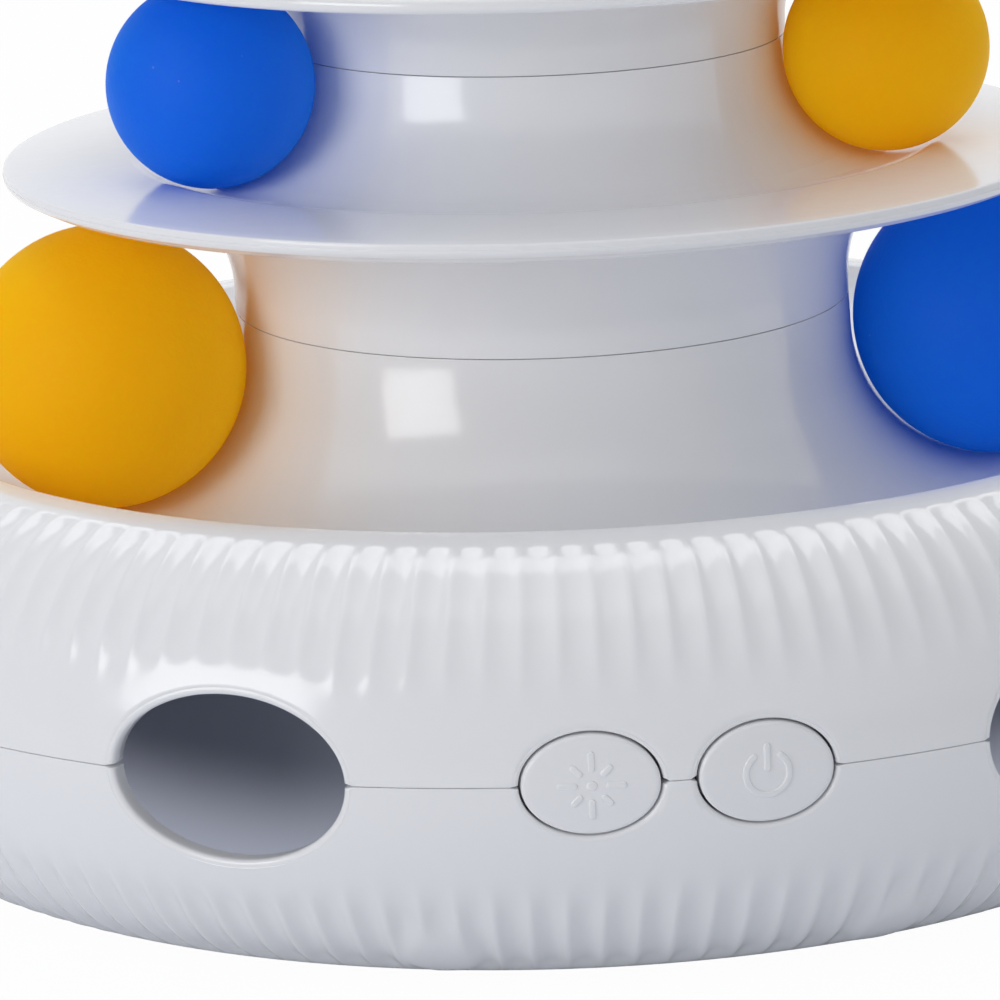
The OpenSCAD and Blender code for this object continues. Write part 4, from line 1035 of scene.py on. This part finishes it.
def floor():
    """A wide sheet just below the feet that turns up behind.

    Seen directly it is nearly plain white, and mirrored it becomes so over the distances FLOOR_LIT from the middle.
    """
    bend = arc((SHEET_BACK, SHEET_BEND), (SHEET_BEND, SHEET_BEND), -80, 0, 8)
    line = np.vstack([[SHEET_FRONT, 0.0], [SHEET_BACK, 0.0], bend, [bend[-1, 0], SHEET_TOP]])
    points = np.array([[x, y, z - FLOOR_GAP] for y, z in line for x in (-SHEET_SIDE, SHEET_SIDE)])
    i = np.arange(len(line) - 1) * 2
    mesh = bpy.data.meshes.new("floor")
    mesh.from_pydata((points * MM).tolist(), [], np.column_stack([i, i + 1, i + 3, i + 2]).tolist())
    material = bpy.data.materials.new("paper_white")
    material.use_nodes = True
    tree = material.node_tree
    shader = tree.nodes["Principled BSDF"]
    feed(tree, shader, {"Base Color": (0.91, 0.93, 0.975, 1), "Roughness": 0.9, "Specular IOR Level": 0.1})
    rays = add_node(tree, "ShaderNodeLightPath", {}).outputs
    place = add_node(tree, "ShaderNodeTexCoord", {}).outputs["Object"]
    away = add_node(tree, "ShaderNodeVectorMath", {0: place}, operation="LENGTH").outputs["Value"]
    lit = range_node(tree, away, *FLOOR_LIT, smooth=True)
    mirrored = math_node(tree, "MULTIPLY", rays["Is Glossy Ray"], lit)
    direct = math_node(tree, "MAXIMUM", rays["Is Camera Ray"], rays["Is Transmission Ray"])
    share = math_node(tree, "MULTIPLY", math_node(tree, "MAXIMUM", mirrored, direct), FLOOR_GLOW)
    glow = add_node(tree, "ShaderNodeEmission", {"Color": (1, 1, 1, 1)})
    blend = add_node(tree, "ShaderNodeMixShader", {"Fac": share, 1: shader.outputs[0], 2: glow.outputs[0]})
    feed(tree, tree.nodes["Material Output"], {"Surface": blend.outputs[0]})
    mesh.materials.append(material)
    obj = bpy.data.objects.new("floor", mesh)
    bpy.context.scene.collection.objects.link(obj)


def sky():
    """Plain soft world light, white where it is seen."""
    world = bpy.data.worlds.new("studio")
    bpy.context.scene.world = world
    world.use_nodes = True
    tree = world.node_tree
    rays = add_node(tree, "ShaderNodeLightPath", {}).outputs
    soft = tree.nodes["Background"]
    feed(tree, soft, {"Color": (0.905, 0.935, 1.0, 1), "Strength": 0.295})
    plain = add_node(tree, "ShaderNodeBackground", {"Color": (1, 1, 1, 1), "Strength": 1.0})
    direct = math_node(tree, "MAXIMUM", rays["Is Camera Ray"], rays["Is Transmission Ray"])
    seen = math_node(tree, "MAXIMUM", direct, rays["Is Glossy Ray"])
    blend = add_node(tree, "ShaderNodeMixShader", {"Fac": seen, 1: soft.outputs[0], 2: plain.outputs[0]})
    feed(tree, tree.nodes["World Output"], {"Surface": blend.outputs[0]})


VIEW_TURN = math.radians(-7.85)
AIM_Z = 0.07
PITCH, ROLL, YAW = math.radians(13.74), -0.0356, -0.009
EYE = (0, -0.802, 0.2397)
LENS, SENSOR = 200.28, 36.0


def placed(data, axes, at):
    """An object for a light or camera, with its three axes as columns, at a point in metres."""
    obj = bpy.data.objects.new(data.name, data)
    bpy.context.scene.collection.objects.link(obj)
    place = np.eye(4)
    place[:3, :3] = np.column_stack(axes)
    place[:3, 3] = at
    obj.matrix_world = Matrix(place.tolist())
    return obj


def panel(name, azimuth, height, distance, size, radiance):
    """A rectangular soft light at an azimuth and elevation from the camera's side, facing the toy."""
    a, e = math.radians(azimuth) + VIEW_TURN, math.radians(height)
    way = np.array([math.sin(a) * math.cos(e), -math.cos(a) * math.cos(e), math.sin(e)])
    light = bpy.data.lights.new(name, "AREA")
    light.shape = "RECTANGLE"
    light.size, light.size_y = size
    light.energy = radiance * math.pi * size[0] * size[1]
    right = np.cross([0, 0, 1.0], way)
    right /= np.linalg.norm(right)
    placed(light, (right, np.cross(way, right), way), way * distance + [0, 0, AIM_Z])


def camera():
    """The photograph's camera: pitch, roll and yaw about the toy's axis, turned with the toy's front."""
    ahead = np.array([math.sin(YAW) * math.cos(PITCH), math.cos(YAW) * math.cos(PITCH), -math.sin(PITCH)])
    level = np.array([math.cos(YAW), -math.sin(YAW), 0.0])
    upright = np.cross(level, ahead)
    right = math.cos(ROLL) * level + math.sin(ROLL) * upright
    up = -math.sin(ROLL) * level + math.cos(ROLL) * upright
    turn = np.array(Matrix.Rotation(VIEW_TURN, 3, "Z"))
    lens = bpy.data.cameras.new("camera")
    lens.lens, lens.sensor_width = LENS, SENSOR
    lens.clip_start, lens.clip_end = 0.01, 50.0
    bpy.context.scene.camera = placed(lens, [turn @ axis for axis in (right, up, -ahead)], turn @ np.array(EYE))


floor()
sky()
camera()
panel("key", -46.5, 15.5, 1.1, (0.53, 0.47), 3.75)
panel("above", 0, 89, 1.3, (1.4, 1.4), 0.60)
panel("behind", 180, 60, 1.3, (1.2, 1.0), 1.5)
panel("front", -5, 58, 1.3, (1.2, 0.8), 0.20)
panel("fill", 60, 15.5, 1.3, (2.0, 0.68), 0.18)
bpy.context.scene.view_settings.view_transform = "Standard"
